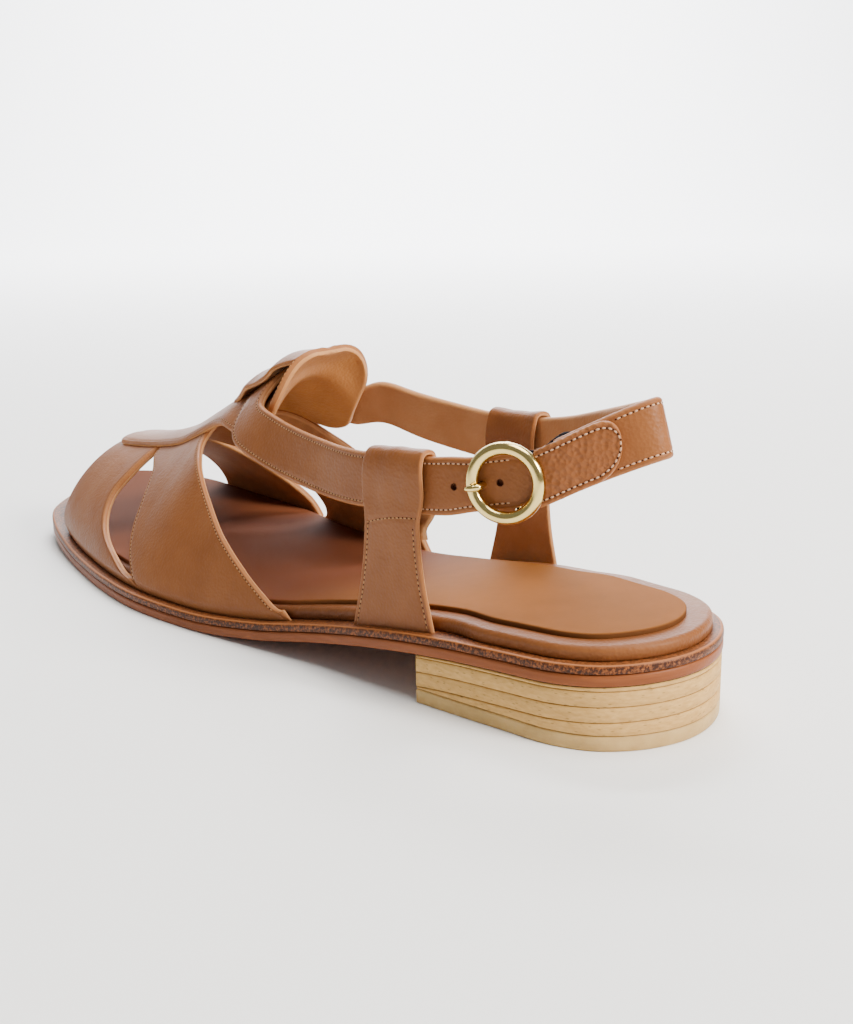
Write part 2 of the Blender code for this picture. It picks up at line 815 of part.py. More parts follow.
def wire(name, places, radius, frame, collection, material_name):
    """Wire along places in the ring's frame, as a closed mesh."""
    curve = bpy.data.curves.new(name, "CURVE")
    curve.dimensions = "3D"
    curve.bevel_depth = radius
    curve.bevel_resolution = 2
    curve.use_fill_caps = True
    spline = curve.splines.new("POLY")
    spline.points.add(len(places) - 1)
    for point, place in zip(spline.points, places):
        point.co = (*place, 1.0)
    made = bpy.data.objects.new(name, curve)
    made.matrix_world = frame
    collection.objects.link(made)
    bpy.context.view_layer.update()
    baked = bake(made, collection)
    baked.data.materials.clear()
    baked.data.materials.append(material(material_name))
    return baked


def bar_depth():
    """Depth of the buckle's bar below the strap's mid line, clear of the prong between."""
    return ANKLE_THICKNESS / 2 + 2 * GAP + 2 * PRONG_WIRE + BAR_WIRE


def build_ankle_strap(rows, frame, collection, cutters):
    """One long strap from the rounded tip in the ring round to its end behind the ring."""
    shaped = []
    for middle, half, at in rows:
        narrow = TIP_NARROWING + (1 - TIP_NARROWING) * ease(2 * RING_RADIUS, 3 * RING_RADIUS, at)
        if at < TIP_LENGTH:
            narrow *= math.sqrt(max(1 - ((TIP_LENGTH - at) / (1.04 * TIP_LENGTH)) ** 2, 0.0))
        shaped.append((middle, half * narrow))
    strap = ribbon("ankle_strap", shaped, ANKLE_THICKNESS, collection, "leather")
    depth = 4 * ANKLE_THICKNESS
    bpy.ops.mesh.primitive_cylinder_add(vertices=16, radius=2 * PRONG_WIRE, depth=depth)
    hole = bpy.context.object
    hole.name = "prong_hole"
    for owner in list(hole.users_collection):
        owner.objects.unlink(hole)
    cutters.objects.link(hole)
    hole.matrix_world = frame @ Matrix.Translation((-PRONG_HOLE_AT, 0.0, 0.0))
    cut_out(strap, hole)
    return strap


def cut_out(thing, cutter):
    cut = thing.modifiers.new("cut", "BOOLEAN")
    cut.operation = "DIFFERENCE"
    cut.solver = "EXACT"
    cut.object = cutter
    cutter.hide_render = True
    cutter.display_type = "WIRE"


def build_ring(frame, collection, cutters):
    """Ring with a bar behind the strap, held by a short post at each end."""
    level = ANKLE_THICKNESS / 2 + GAP + RING_WIRE
    bpy.ops.mesh.primitive_torus_add(
        major_segments=44, minor_segments=12, major_radius=RING_RADIUS, minor_radius=RING_WIRE
    )
    ring = bpy.context.object
    ring.name = "ring_buckle"
    ring.data.name = "ring_buckle"
    for owner in list(ring.users_collection):
        owner.objects.unlink(ring)
    collection.objects.link(ring)
    ring.matrix_world = frame @ Matrix.Translation((0.0, 0.0, level))
    ring.data.materials.append(material("brass"))
    deep = -bar_depth()
    bend = 2 * BAR_WIRE
    places = [(0.0, RING_RADIUS, level), (0.0, RING_RADIUS, deep + bend), (0.0, RING_RADIUS - bend / 2, deep)]
    places += [(x, -y, z) for x, y, z in reversed(places)]
    bar = wire("bar", places, BAR_WIRE, frame, cutters, "brass")
    return join_solids(ring, [bar], collection)


def build_prong(frame, collection):
    """Prong, hooked round the bar, up through the strap's hole and over the ring's rim."""
    deep = -bar_depth()
    hook = BAR_WIRE + GAP + PRONG_WIRE
    places = []
    for i in range(7):
        turn = math.radians(-120 + 35 * i)
        places.append((hook * math.cos(turn), 0.0, deep + hook * math.sin(turn)))
    level = ANKLE_THICKNESS / 2 + GAP + RING_WIRE
    over = RING_WIRE + GAP + PRONG_WIRE
    hole = -PRONG_HOLE_AT
    places += [
        (hole + 0.5 * RING_WIRE, 0.0, deep + hook),
        (hole, 0.0, -0.25 * ANKLE_THICKNESS),
        (hole - 0.3 * RING_WIRE, 0.0, 0.55 * ANKLE_THICKNESS),
        (-RING_RADIUS + 0.80 * over, 0.0, level + 0.68 * over),
        (-RING_RADIUS + 0.28 * over, 0.0, level + 1.02 * over),
        (-RING_RADIUS - 0.20 * over, 0.0, level + 1.04 * over),
        (-RING_RADIUS - 0.60 * over, 0.0, level + 0.85 * over),
    ]
    return wire("prong", places, PRONG_WIRE, frame, collection, "brass")


def build_tab(rows, collection):
    """Round-ended leather tab on the outside of the strap's rear end."""
    total = rows[-1][2]
    lift = ANKLE_THICKNESS / 2 + GAP + TAB_THICKNESS / 2
    round_length = 0.45 * ANKLE_WIDTH
    places = [total - TAB_LENGTH + round_length * f for f in (0.02, 0.08, 0.2, 0.38, 0.6, 0.8)]
    places += [total - (TAB_LENGTH - round_length) * f for f in (1.0, 0.8, 0.6, 0.4, 0.2, 0.0)]
    shaped = []
    for place in places:
        middle, half, out = read_rows(rows, place)
        into = (place - total + TAB_LENGTH) / round_length
        wide = 0.97 * (1 - max(1 - into, 0.0) ** 2.2) ** (1 / 2.2)
        shaped.append((middle + out * lift, half * wide))
    return ribbon("buckle_tab", shaped, TAB_THICKNESS, collection, "leather")


def build_elastic(rows, frame, collection, cutters):
    """Short elastic behind the strap's rear end, folded round the bar, slit for the prong."""
    total = rows[-1][2]
    depth = ANKLE_THICKNESS / 2 + 2 * GAP + ELASTIC_THICKNESS / 2
    middle_line = []
    for f in (1.0, 0.75, 0.5, 0.25, 0.05):
        middle, half, out = read_rows(rows, total - ELASTIC_TUCK * f)
        middle_line.append((middle - out * depth, half * ELASTIC_WIDTH / ANKLE_WIDTH))
    deep = -bar_depth()
    fold = BAR_WIRE + GAP + ELASTIC_THICKNESS / 2
    near = [(3.6 * fold, deep + 0.5 * fold), (1.5 * fold, deep + 0.9 * fold)]
    for i in range(7):
        turn = math.radians(90 + 30 * i)
        near.append((fold * math.cos(turn), deep + fold * math.sin(turn)))
    near += [(1.6 * fold, deep - fold), (3.0 * fold, deep - 0.9 * fold)]
    down = (frame.to_3x3() @ Vector((0.0, -1.0, 0.0))) * ELASTIC_FOLD_WIDTH / 2
    for x, z in near:
        middle_line.append((frame @ Vector((x, 0.0, z)), down))
    band = ribbon("buckle_elastic", middle_line, ELASTIC_THICKNESS, collection, "elastic")
    room = BAR_WIRE + 2 * GAP + 2 * PRONG_WIRE
    bpy.ops.mesh.primitive_cube_add(size=1.0)
    slit = bpy.context.object
    slit.name = "prong_slit"
    for owner in list(slit.users_collection):
        owner.objects.unlink(slit)
    cutters.objects.link(slit)
    slit.data.transform(Matrix.Diagonal((2 * room, 2 * (PRONG_WIRE + 1.3 * GAP), 3 * room, 1.0)))
    slit.matrix_world = frame @ Matrix.Translation((0.0, 0.0, deep))
    cut_out(band, slit)
    return band


def build_stay(name, side, strap_rows, centre_share, base_share, base_width, collection):
    """Side stay: one strip up from the welt, over the ankle strap and down to a seam."""
    on_side = [row for row in strap_rows if row[0].x * side > 0.5 * STAY_SPREAD]
    nearest = min(on_side, key=lambda row: abs(row[0].y - y_of(centre_share)))
    reach = ANKLE_THICKNESS / 2 + LOOP_SLACK + STAY_THICKNESS / 2
    top = ANKLE_WIDTH / 2 - GAP
    seam = -ANKLE_WIDTH / 2 - LOOP_SLACK - GAP
    flap = 2.5 * STAY_THICKNESS
    columns = []
    for step in range(-3, 4):
        across = step / 6
        y = y_of(base_share) + across * base_width
        x = abs(side_x(share_of(y), side)) - WELT_LEDGE - STAY_THICKNESS / 2
        base = Vector((side * x, y, welt_top(y) + 1.4 * GAP))

        def beside(outward, height, width):
            middle, half, out = read_rows(strap_rows, nearest[2] - side * across * width)
            return middle + out * outward - half.normalized() * height

        waist = beside(reach, seam, STAY_WAIST)
        low = waist.lerp(base, 0.5)
        inward = (low - waist).normalized().cross(Vector((0.0, side, 0.0)))
        if inward.x * side > 0:
            inward = -inward
        column = []
        for f in (0.0, 0.15, 0.35, 0.6, 0.8):
            width = STAY_WAIST + (base_width - STAY_WAIST) * (1 - f) ** 2.2
            straight = base.lerp(waist, f)
            straight.y = y_of(base_share) * (1 - f) + nearest[0].y * f + across * width
            column.append(straight)
        column.append(waist)
        column.append(beside(reach, seam + flap, LOOP_WIDTH))
        column.append(beside(reach, top, LOOP_WIDTH))
        for i in range(1, 7):
            turn = math.pi * i / 6
            column.append(beside(reach * math.cos(turn), top + 0.62 * reach * math.sin(turn), LOOP_WIDTH))
        column.append(beside(-reach, seam + LOOP_SLACK, LOOP_WIDTH))
        for depth in (flap, flap + SEAM_LENGTH):
            column.append(waist + (low - waist).normalized() * depth + inward * (STAY_THICKNESS + GAP))
        columns.append(column)
    rows = [list(row) for row in zip(*columns)]
    return slab(name, rows, STAY_THICKNESS, collection, "leather")


def centre_on_origin():
    """Parents every piece to an empty that brings the middle of the sole to x = 0."""
    holder = bpy.data.objects.new("sandal_frame", None)
    bpy.context.scene.collection.objects.link(holder)
    for thing in list(bpy.data.objects):
        if thing is not holder and thing.parent is None:
            thing.parent = holder
    holder.location = (CENTRE_SHIFT, 0.0, 0.0)
    bpy.context.view_layer.update()


def build():
    clear_scene()
    parts = new_collection("fisherman_sandal")
    cutters = new_collection("cutters")
    build_sole(parts)
    build_heel(parts)
    build_footbed(parts)
    build_upper(parts, cutters)
    rows = path_rows(104)
    frame = ring_frame(rows)
    build_ankle_strap(rows, frame, parts, cutters)
    build_ring(frame, parts, cutters)
    build_prong(frame, parts)
    build_tab(rows, parts)
    build_elastic(rows, frame, parts, cutters)
    build_stay("stay_lateral", 1, rows, 0.241, 0.247, LATERAL_STAY_BASE, parts)
    build_stay("stay_medial", -1, rows, 0.291, 0.298, MEDIAL_STAY_BASE, parts)
    centre_on_origin()


build()
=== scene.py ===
import math

import bmesh
import bpy
import numpy as np
from mathutils import Matrix, Vector


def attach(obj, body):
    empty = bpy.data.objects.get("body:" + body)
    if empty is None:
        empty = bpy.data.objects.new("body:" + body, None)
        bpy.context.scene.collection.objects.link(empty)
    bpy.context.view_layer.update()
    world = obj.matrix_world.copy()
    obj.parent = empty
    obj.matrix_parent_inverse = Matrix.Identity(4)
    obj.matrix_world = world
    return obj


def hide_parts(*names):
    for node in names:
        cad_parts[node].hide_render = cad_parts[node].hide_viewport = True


# Fisherman sandal, left shoe, as visible pieces over the solid parts. Metres, +Z up, toe to
# -Y, outer side to +X. Shapes are worked out about the heel's centre line, and each piece is
# moved by CENTRE_SHIFT as the solid parts are.
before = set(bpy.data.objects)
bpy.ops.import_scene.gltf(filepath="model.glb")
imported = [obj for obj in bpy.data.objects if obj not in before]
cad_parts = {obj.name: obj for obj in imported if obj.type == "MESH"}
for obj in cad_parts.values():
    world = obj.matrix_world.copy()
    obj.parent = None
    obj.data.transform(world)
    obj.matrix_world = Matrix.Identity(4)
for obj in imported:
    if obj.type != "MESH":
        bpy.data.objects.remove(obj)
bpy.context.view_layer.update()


# OUTSOLE
# The outsole is one piece of orange brown sole leather from the toe to the back of the heel.
# It bends up over the heel and at the toe, and is cemented to the welt above it.
SOLE_LENGTH = 0.258
BALL_LATERAL = 0.0435
BALL_MEDIAL = 0.0418
HEEL_HEIGHT = 0.0145
TOE_SPRING = 0.0062
OUTSOLE_THICKNESS = 0.0027
GAP = 0.0003
HEEL_END = SOLE_LENGTH / 2
CENTRE_SHIFT = (BALL_MEDIAL - BALL_LATERAL) / 2
MERGE_DISTANCE = 0.000004

OUTLINE = (
    # share of the length from the heel, share of each side's ball half width
    (0.00, 0.00, 0.00),
    (0.03, 0.43, 0.45),
    (0.07, 0.57, 0.60),
    (0.12, 0.62, 0.65),
    (0.18, 0.67, 0.70),
    (0.255, 0.72, 0.74),
    (0.335, 0.76, 0.75),
    (0.42, 0.85, 0.80),
    (0.51, 0.95, 0.87),
    (0.60, 1.00, 0.90),
    (0.68, 0.96, 0.97),
    (0.76, 0.87, 1.00),
    (0.83, 0.77, 0.97),
    (0.89, 0.66, 0.91),
    (0.94, 0.51, 0.76),
    (0.975, 0.24, 0.57),
    (1.00, -0.18, 0.18),
)

PROFILE = (
    # share of the length, shares of heel height and toe spring under the outsole
    (0.00, 1.00, 0.00),
    (0.12, 0.90, 0.00),
    (0.18, 0.84, 0.00),
    (0.255, 0.68, 0.00),
    (0.335, 0.42, 0.00),
    (0.42, 0.14, 0.00),
    (0.51, 0.00, 0.00),
    (0.76, 0.00, 0.00),
    (0.83, 0.00, 0.13),
    (0.89, 0.00, 0.34),
    (0.94, 0.00, 0.60),
    (1.00, 0.00, 1.00),
)


def smooth_read(table, column, at):
    """Value of a table's column at a place in its first column, through a smooth curve."""
    rows = sorted(table)
    places = [row[0] for row in rows]
    values = [row[column] for row in rows]
    if at <= places[0]:
        return values[0]
    if at >= places[-1]:
        return values[-1]
    i = max(k for k in range(len(rows) - 1) if places[k] <= at)
    span = places[i + 1] - places[i]
    step = (values[i + 1] - values[i]) / span
    before = step
    after = step
    if i > 0:
        before = (values[i + 1] - values[i - 1]) / (places[i + 1] - places[i - 1])
    if i + 2 < len(rows):
        after = (values[i + 2] - values[i]) / (places[i + 2] - places[i])
    f = (at - places[i]) / span
    rise = values[i + 1] - values[i]
    return (
        values[i]
        + rise * f * f * (3 - 2 * f)
        + span * before * f * (1 - f) ** 2
        - span * after * f * f * (1 - f)
    )


def ease(low, high, at):
    f = min(max((at - low) / (high - low), 0.0), 1.0)
    return f * f * (3 - 2 * f)


def share_of(y):
    return (HEEL_END - y) / SOLE_LENGTH


def y_of(share):
    return HEEL_END - share * SOLE_LENGTH


def turn_of(share):
    """Angle that spaces the outline's points closely at the round heel and toe."""
    return math.acos(1 - 2 * min(max(share, 0.0), 1.0))


OUTLINE_TURNS = tuple((turn_of(row[0]), row[1], row[2]) for row in OUTLINE)


def side_x(share, side):
    """Sole edge on the lateral (+1) or medial (-1) side."""
    if side > 0:
        return smooth_read(OUTLINE_TURNS, 1, turn_of(share)) * BALL_LATERAL
    return -smooth_read(OUTLINE_TURNS, 2, turn_of(share)) * BALL_MEDIAL


def underside(y):
    share = share_of(y)
    heel = smooth_read(PROFILE, 1, share) * HEEL_HEIGHT
    toe = smooth_read(PROFILE, 2, share) * TOE_SPRING
    return max(heel + toe, 0.0)


def outline_point(turn, inset):
    """Point of the sole outline, moved inward; turn runs 0 at the heel to pi at the toe
    down the lateral side and on to 2 pi back up the medial side."""
    def raw(angle):
        share = (1 - math.cos(angle)) / 2
        side = 1 if math.sin(angle) >= 0 else -1
        return Vector((side_x(share, side), y_of(share)))

    step = 0.01
    along = (raw(turn + step) - raw(turn - step)).normalized()
    inward = Vector((along.y, -along.x))
    side = 1 if math.sin(turn) >= 0 else -1
    distance = inset(share_of(raw(turn).y), side) if callable(inset) else inset
    return raw(turn) + inward * distance


def placed(name, data):
    """New object in the scene with its mesh, lamp or camera."""
    made = bpy.data.objects.new(name, data)
    bpy.context.scene.collection.objects.link(made)
    return made


def smooth(mesh):
    mesh.polygons.foreach_set("use_smooth", [True] * len(mesh.polygons))


def new_piece(name, vertices, faces, finishes, finish_of_face=None, marks=None, sharp=50):
    """Closed plain mesh, merged and facing outward, that rides with the shoe."""
    mesh = bpy.data.meshes.new(name)
    mesh.from_pydata([(x + CENTRE_SHIFT, y, z) for x, y, z in vertices], [], faces)
    for finish in finishes:
        mesh.materials.append(finish)
    if finish_of_face is not None:
        mesh.polygons.foreach_set("material_index", finish_of_face)
    for key, values in (marks or {}).items():
        mesh.attributes.new(key, "FLOAT", "POINT").data.foreach_set("value", values)
    body = bmesh.new()
    body.from_mesh(mesh)
    loose = [vertex for vertex in body.verts if not vertex.link_faces]
    bmesh.ops.delete(body, geom=loose, context="VERTS")
    bmesh.ops.remove_doubles(body, verts=body.verts, dist=MERGE_DISTANCE)
    bmesh.ops.recalc_face_normals(body, faces=body.faces)
    body.to_mesh(mesh)
    body.free()
    smooth(mesh)
    mesh.set_sharp_from_angle(angle=math.radians(sharp))
    made = placed(name, mesh)
    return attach(made, "root")


def sole_stack(name, levels, finish, end_share=None, hollow=0.0, points=100, columns=6):
    """Closed stack of outline loops, each an inset, a height over y and a mark for the
    finish. With an end share it stops there in a hollowed breast."""
    last = math.pi if end_share is None else turn_of(end_share)
    turns = [last * i / points for i in range(points + 1)]
    wide = columns + 1
    vertices = []
    marks = []
    for inset, height, mark in levels:
        for i, turn in enumerate(turns):
            right = outline_point(turn, inset)
            left = outline_point(2 * math.pi - turn, inset)
            if i == 0 or (i == points and end_share is None):
                left = right
            elif i == points:
                right = Vector((right.x, y_of(end_share)))
                left = Vector((left.x, y_of(end_share)))
            for j in range(wide):
                f = j / columns
                place = right.lerp(left, f)
                if i == points:
                    place.y += hollow * (1 - (2 * f - 1) ** 2)
                vertices.append((place.x, place.y, height(place.y)))
                marks.append(mark)
    loop = len(turns) * wide
    faces = []
    top = (len(levels) - 1) * loop
    for i in range(points):
        for j in range(columns):
            low = [i * wide + j, (i + 1) * wide + j, (i + 1) * wide + j + 1, i * wide + j + 1]
            faces.append(low)
            faces.append([top + index for index in reversed(low)])
    for level in range(len(levels) - 1):
        start = level * loop
        low = []
        for i in range(points):
            low += [(start + i * wide + j, start + (i + 1) * wide + j) for j in (0, columns)]
        if end_share is not None:
            breast = start + points * wide
            low += [(breast + j, breast + j + 1) for j in range(columns)]
        faces += [[one, two, two + loop, one + loop] for one, two in low]
    kept = []
    for face in faces:
        corners = {tuple(round(value, 6) for value in vertices[index]) for index in face}
        if len(corners) > 2:
            kept.append(face)
    return new_piece(name, vertices, kept, [finish], marks={"mark": marks})


def linear(text):
    """Linear colour of an sRGB hex text."""
    values = [int(text[i:i + 2], 16) / 255 for i in (1, 3, 5)]
    bright = [value / 12.92 if value <= 0.04045 else ((value + 0.055) / 1.055) ** 2.4 for value in values]
    return (*bright, 1.0)


def add_node(tree, kind, inputs=None, **settings):
    """Adds a node with its settings, and values or links for its inputs."""
    made = tree.nodes.new(kind)
    for key, value in settings.items():
        setattr(made, key, value)
    for key, value in (inputs or {}).items():
        if isinstance(value, bpy.types.NodeSocket):
            tree.links.new(value, made.inputs[key])
        else:
            made.inputs[key].default_value = value
    return made


def finish_for(name, roughness, specular=0.14):
    """New material with its node tree, its shader and the object's own coordinates."""
    made = bpy.data.materials.new(name)
    made.use_nodes = True
    tree = made.node_tree
    shader = tree.nodes["Principled BSDF"]
    shader.inputs["Roughness"].default_value = roughness
    shader.inputs["Specular IOR Level"].default_value = specular
    return made, tree, shader, add_node(tree, "ShaderNodeTexCoord").outputs["Object"]


def noise(tree, place, scale, detail, roughness=0.5):
    made = add_node(
        tree, "ShaderNodeTexNoise",
        {"Vector": place, "Scale": scale, "Detail": detail, "Roughness": roughness},
    )
    return made.outputs["Fac"]


def blend(tree, share, first, second):
    """Colour between two, each a hex text or another node's colour."""
    ends = [linear(end) if isinstance(end, str) else end for end in (first, second)]
    return add_node(tree, "ShaderNodeMix", {0: share, 6: ends[0], 7: ends[1]}, data_type="RGBA").outputs[2]


def dye(tree, shader, tone, height, strength, depth):
    """Gives a finish its colour, a hex text or a node's, and its fine relief as a bump."""
    if isinstance(tone, str):
        shader.inputs["Base Color"].default_value = linear(tone)
    else:
        tree.links.new(tone, shader.inputs["Base Color"])
    bump = add_node(tree, "ShaderNodeBump", {"Height": height, "Strength": strength, "Distance": depth})
    tree.links.new(bump.outputs[0], shader.inputs["Normal"])


# Waxed sole leather: an orange brown edge with faint fibre bands that run along the sole
sole_leather, tree, shader, place = finish_for("waxed sole leather", 0.42)
stretched = add_node(tree, "ShaderNodeMapping", {"Vector": place, "Scale": (60.0, 60.0, 900.0)})
tone = blend(tree, noise(tree, stretched.outputs[0], 1.0, 4.0), "#67361b", "#935531")
dye(tree, shader, tone, noise(tree, place, 1800.0, 3.0), 0.25, 0.00015)


def raised(start, rise):
    """Height over y at a fixed rise above another height."""
    return lambda y: start(y) + rise


def levels_over(base, rows, inset_of=float):
    """Levels of a stack from rows of an inset, a rise over the base and a mark."""
    return [(inset_of(inset), raised(base, rise), mark) for inset, rise, mark in rows]


outsole_thick = OUTSOLE_THICKNESS - GAP
outsole_levels = levels_over(underside, (
    (0.0007, 0.0, 0.0),
    (0.0003, 0.0001, 0.0),
    (0.0001, 0.0003, 0.0),
    (0.0, 0.0007, 0.0),
    (0.0, outsole_thick - 0.0005, 0.0),
    (0.0001, outsole_thick, 0.0),
    (0.0004, outsole_thick + 0.0002, 0.0),
))
outsole = sole_stack("outsole_leather", outsole_levels, sole_leather)
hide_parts("outsole")


# WELT
# The welt is a thin layer of leather between the outsole and the footbed, a little wider
# than the footbed. Its trimmed side is burnished dark, and its top rim has a painted orange highlight.
WELT_THICKNESS = 0.0020
WELT_LEDGE = 0.0024
TOTAL_SOLE = OUTSOLE_THICKNESS + WELT_THICKNESS


def welt_top(y):
    return underside(y) + TOTAL_SOLE


# Burnished edge: dark speckle on red brown, with the mark painting an orange highlight on the rim
edge_leather, tree, shader, place = finish_for("burnished welt edge", 0.45, 0.20)
speckle = noise(tree, place, 1500.0, 4.0, 0.75)
speckle_share = add_node(tree, "ShaderNodeMapRange", {"Value": speckle, "From Min": 0.46, "From Max": 0.66})
side_tone = blend(tree, speckle_share.outputs[0], "#331708", "#96552a")
rim_highlight = add_node(tree, "ShaderNodeAttribute", attribute_name="mark")
tone = blend(tree, rim_highlight.outputs["Fac"], side_tone, "#985c31")
dye(tree, shader, tone, speckle, 0.35, 0.00018)

welt_under = raised(underside, OUTSOLE_THICKNESS)
# Mark: 1 is the painted orange highlight along the rounded top rim; on the ledge it fades back to the dark
# tone towards the footbed, painted shade in the crease
welt_levels = levels_over(welt_under, (
    (0.0004, 0.0, 0.0),
    (0.0001, 0.0001, 0.0),
    (0.0, 0.0003, 0.0),
    (0.0, WELT_THICKNESS - 0.0007, 0.0),
    (0.0001, WELT_THICKNESS - 0.0003, 0.15),
    (0.0003, WELT_THICKNESS - 0.0001, 1.0),
    (0.0006, WELT_THICKNESS, 1.0),
    (0.0009, WELT_THICKNESS, 0.1),
    (0.0013, WELT_THICKNESS, 0.35),
    (0.0030, WELT_THICKNESS, 0.0),
))
welt = sole_stack("welt_leather", welt_levels, edge_leather)
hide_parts("welt")


# STACKED HEEL
# The heel is four layers of pale leatherboard glued under the outsole. The lowest is cut to
# a wedge that lies level on the top lift, and each shows as a beige band with a dark seam.
HEEL_SEAT_LENGTH = 0.054
HEEL_INSET = 0.0002
BREAST_HOLLOW = 0.0020
TOP_LIFT_THICKNESS = 0.0035
LIFT_THICKNESS = 0.0034
RAND_BACK = 0.0010
RAND_BREAST = 0.0006
BREAST_SHARE = HEEL_SEAT_LENGTH / SOLE_LENGTH

# Pressed leatherboard: beige with fine brown fibres and a few dark specks
leatherboard, tree, shader, place = finish_for("pressed leatherboard", 0.62)
stretched = add_node(tree, "ShaderNodeMapping", {"Vector": place, "Scale": (500.0, 500.0, 1600.0)})
fibres = noise(tree, stretched.outputs[0], 1.0, 4.0)
base_tone = blend(tree, fibres, "#a97e41", "#dcb270")
specks = add_node(tree, "ShaderNodeTexVoronoi", {"Vector": stretched.outputs[0], "Scale": 0.9})
speck_share = add_node(
    tree, "ShaderNodeMapRange",
    {"Value": specks.outputs["Distance"], "From Min": 0.10, "From Max": 0.22, "To Min": 0.55, "To Max": 0.0},
)
dye(tree, shader, blend(tree, speck_share.outputs[0], base_tone, "#6b5330"), fibres, 0.2, 0.00012)


def rand_bottom(y):
    return underside(y) - RAND_BACK - (RAND_BREAST - RAND_BACK) * share_of(y) / BREAST_SHARE


def heel_layer(name, low, high, finish, round_off=0.0002):
    """One lift with softly rounded rims."""
    levels = (
        (HEEL_INSET + round_off, low, 0.0),
        (HEEL_INSET, raised(low, round_off), 0.0),
        (HEEL_INSET, raised(high, -round_off), 0.0),
        (HEEL_INSET + round_off, high, 0.0),
    )
    return sole_stack(name, levels, finish, BREAST_SHARE, BREAST_HOLLOW, points=60)


lift_1_under = raised(rand_bottom, -LIFT_THICKNESS)
lift_2_under = raised(lift_1_under, -LIFT_THICKNESS)
SEAM = 0.00012
HEEL_LAYERS = (
    # name, solid part, underside, top
    ("heel_rand_board", "heel_rand", rand_bottom, raised(underside, -SEAM)),
    ("heel_board_1", "heel_lift_1", lift_1_under, raised(rand_bottom, -SEAM)),
    ("heel_board_2", "heel_lift_2", lift_2_under, raised(lift_1_under, -SEAM)),
    ("heel_board_3", "heel_lift_3", lambda y: TOP_LIFT_THICKNESS, raised(lift_2_under, -SEAM)),
)
for name, node, low, high in HEEL_LAYERS:
    layer = heel_layer(name, low, high, leatherboard)
    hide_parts(node)


def even_finish(name, colour, roughness):
    """Finish of one even colour."""
    made, tree, shader, place = finish_for(name, roughness)
    shader.inputs["Base Color"].default_value = linear(colour)
    return made


# Dark glue line: a thin sheet set back between the outsole, the boards and the top lift
glue = even_finish("dark olive glue line", "#4a3d22", 0.7)
GLUE_INSET = HEEL_INSET + 0.0003
seams = (raised(underside, -SEAM), rand_bottom, lift_1_under, lift_2_under, lambda y: TOP_LIFT_THICKNESS)
for number, seam_height in enumerate(seams):
    levels = levels_over(seam_height, ((GLUE_INSET, -2 * SEAM, 0.0), (GLUE_INSET, 2 * SEAM, 0.0)))
    glue_line = sole_stack(f"heel_glue_{number + 1}", levels, glue, BREAST_SHARE, BREAST_HOLLOW, points=60)


# TOP LIFT
# The top lift is the wearing piece under the heel, moulded from pale yellowish rubber. It is
# glued to the last board, and its moulded side is slightly uneven.
pale_rubber, tree, shader, place = finish_for("pale moulded rubber", 0.45)
# Translucent look: a short scatter depth, with faint clouds in the colour
shader.inputs["Subsurface Weight"].default_value = 0.25
shader.inputs["Subsurface Radius"].default_value = (0.0012, 0.0009, 0.0004)
tone = blend(tree, noise(tree, place, 260.0, 3.0), "#aa8852", "#cfae76")
dye(tree, shader, tone, noise(tree, place, 700.0, 4.0), 0.5, 0.0003)
top_lift = heel_layer(
    "top_lift_rubber", lambda y: 0.0, lambda y: TOP_LIFT_THICKNESS - SEAM, pale_rubber, 0.0003
)
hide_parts("top_lift")


# FOOTBED
# The footbed is a firm board wrapped in the same tan calf as the straps, with a round rolled
# rim. It is cemented on the welt inside a narrow ledge, and the straps pass down beside it.
FOOTBED_THICKNESS = 0.0032
FOOTBED_RIM = 0.0014
STRAP_LEATHER = 0.0020

# Painted shade: the leather under the foot is darker in front of the waist, where the straps shade it; the
# change lies between these places
WAIST_BACK = 0.062
WAIST_FRONT = 0.012


def toward_toe(tree, place):
    """0 behind the waist and 1 in front of it."""
    along = add_node(tree, "ShaderNodeSeparateXYZ", {0: place}).outputs["Y"]
    limits = {"Value": along, "From Min": WAIST_BACK, "From Max": WAIST_FRONT}
    return add_node(tree, "ShaderNodeMapRange", limits, interpolation_type="SMOOTHSTEP").outputs[0]


def leather(
    name, dark, light, fold, roughness, grain=1300.0, grain_depth=0.00016, strength=0.5, toe_shade=None
):
    """Smooth finished leather: cloudy tone, fine pores in the bump, uneven gloss, and the
    fold colour where the piece's fold mark says that the edge is turned or rubbed. The
    toe shade colour, a painted shade, takes over in front of the waist."""
    made, tree, shader, place = finish_for(name, roughness)
    clouds = noise(tree, place, 70.0, 4.0, 0.6)
    cloud_share = add_node(tree, "ShaderNodeMapRange", {"Value": clouds, "From Min": 0.25, "From Max": 0.75})
    body_tone = blend(tree, cloud_share.outputs[0], dark, light)
    # Painted shade: the toe shade colour darkens the leather in front of the waist
    if toe_shade:
        body_tone = blend(tree, toward_toe(tree, place), body_tone, toe_shade)
    fold_mark = add_node(tree, "ShaderNodeAttribute", attribute_name="fold")
    tone = blend(tree, fold_mark.outputs["Fac"], body_tone, fold)
    pores = add_node(tree, "ShaderNodeTexVoronoi", {"Vector": place, "Scale": grain}).outputs["Distance"]
    creases = noise(tree, place, grain / 4, 5.0)
    height = add_node(tree, "ShaderNodeMath", {0: pores, 1: creases}, operation="ADD").outputs[0]
    dye(tree, shader, tone, height, strength, grain_depth)
    limits = {"Value": creases, "To Min": roughness - 0.07, "To Max": roughness + 0.09}
    gloss = add_node(tree, "ShaderNodeMapRange", limits)
    tree.links.new(gloss.outputs[0], shader.inputs["Roughness"])
    return made


# Tan calf: red brown body, light orange where it is folded or cut
calf = leather("tan calf leather", "#784725", "#87542f", "#a56b3f", 0.42)


def footbed_inset(share):
    """The footbed is narrower where the straps and stays pass down beside it."""
    return WELT_LEDGE + (STRAP_LEATHER + GAP) * ease(0.14, 0.19, share)


def footbed_level(extra):
    return lambda share, side: footbed_inset(share) + extra
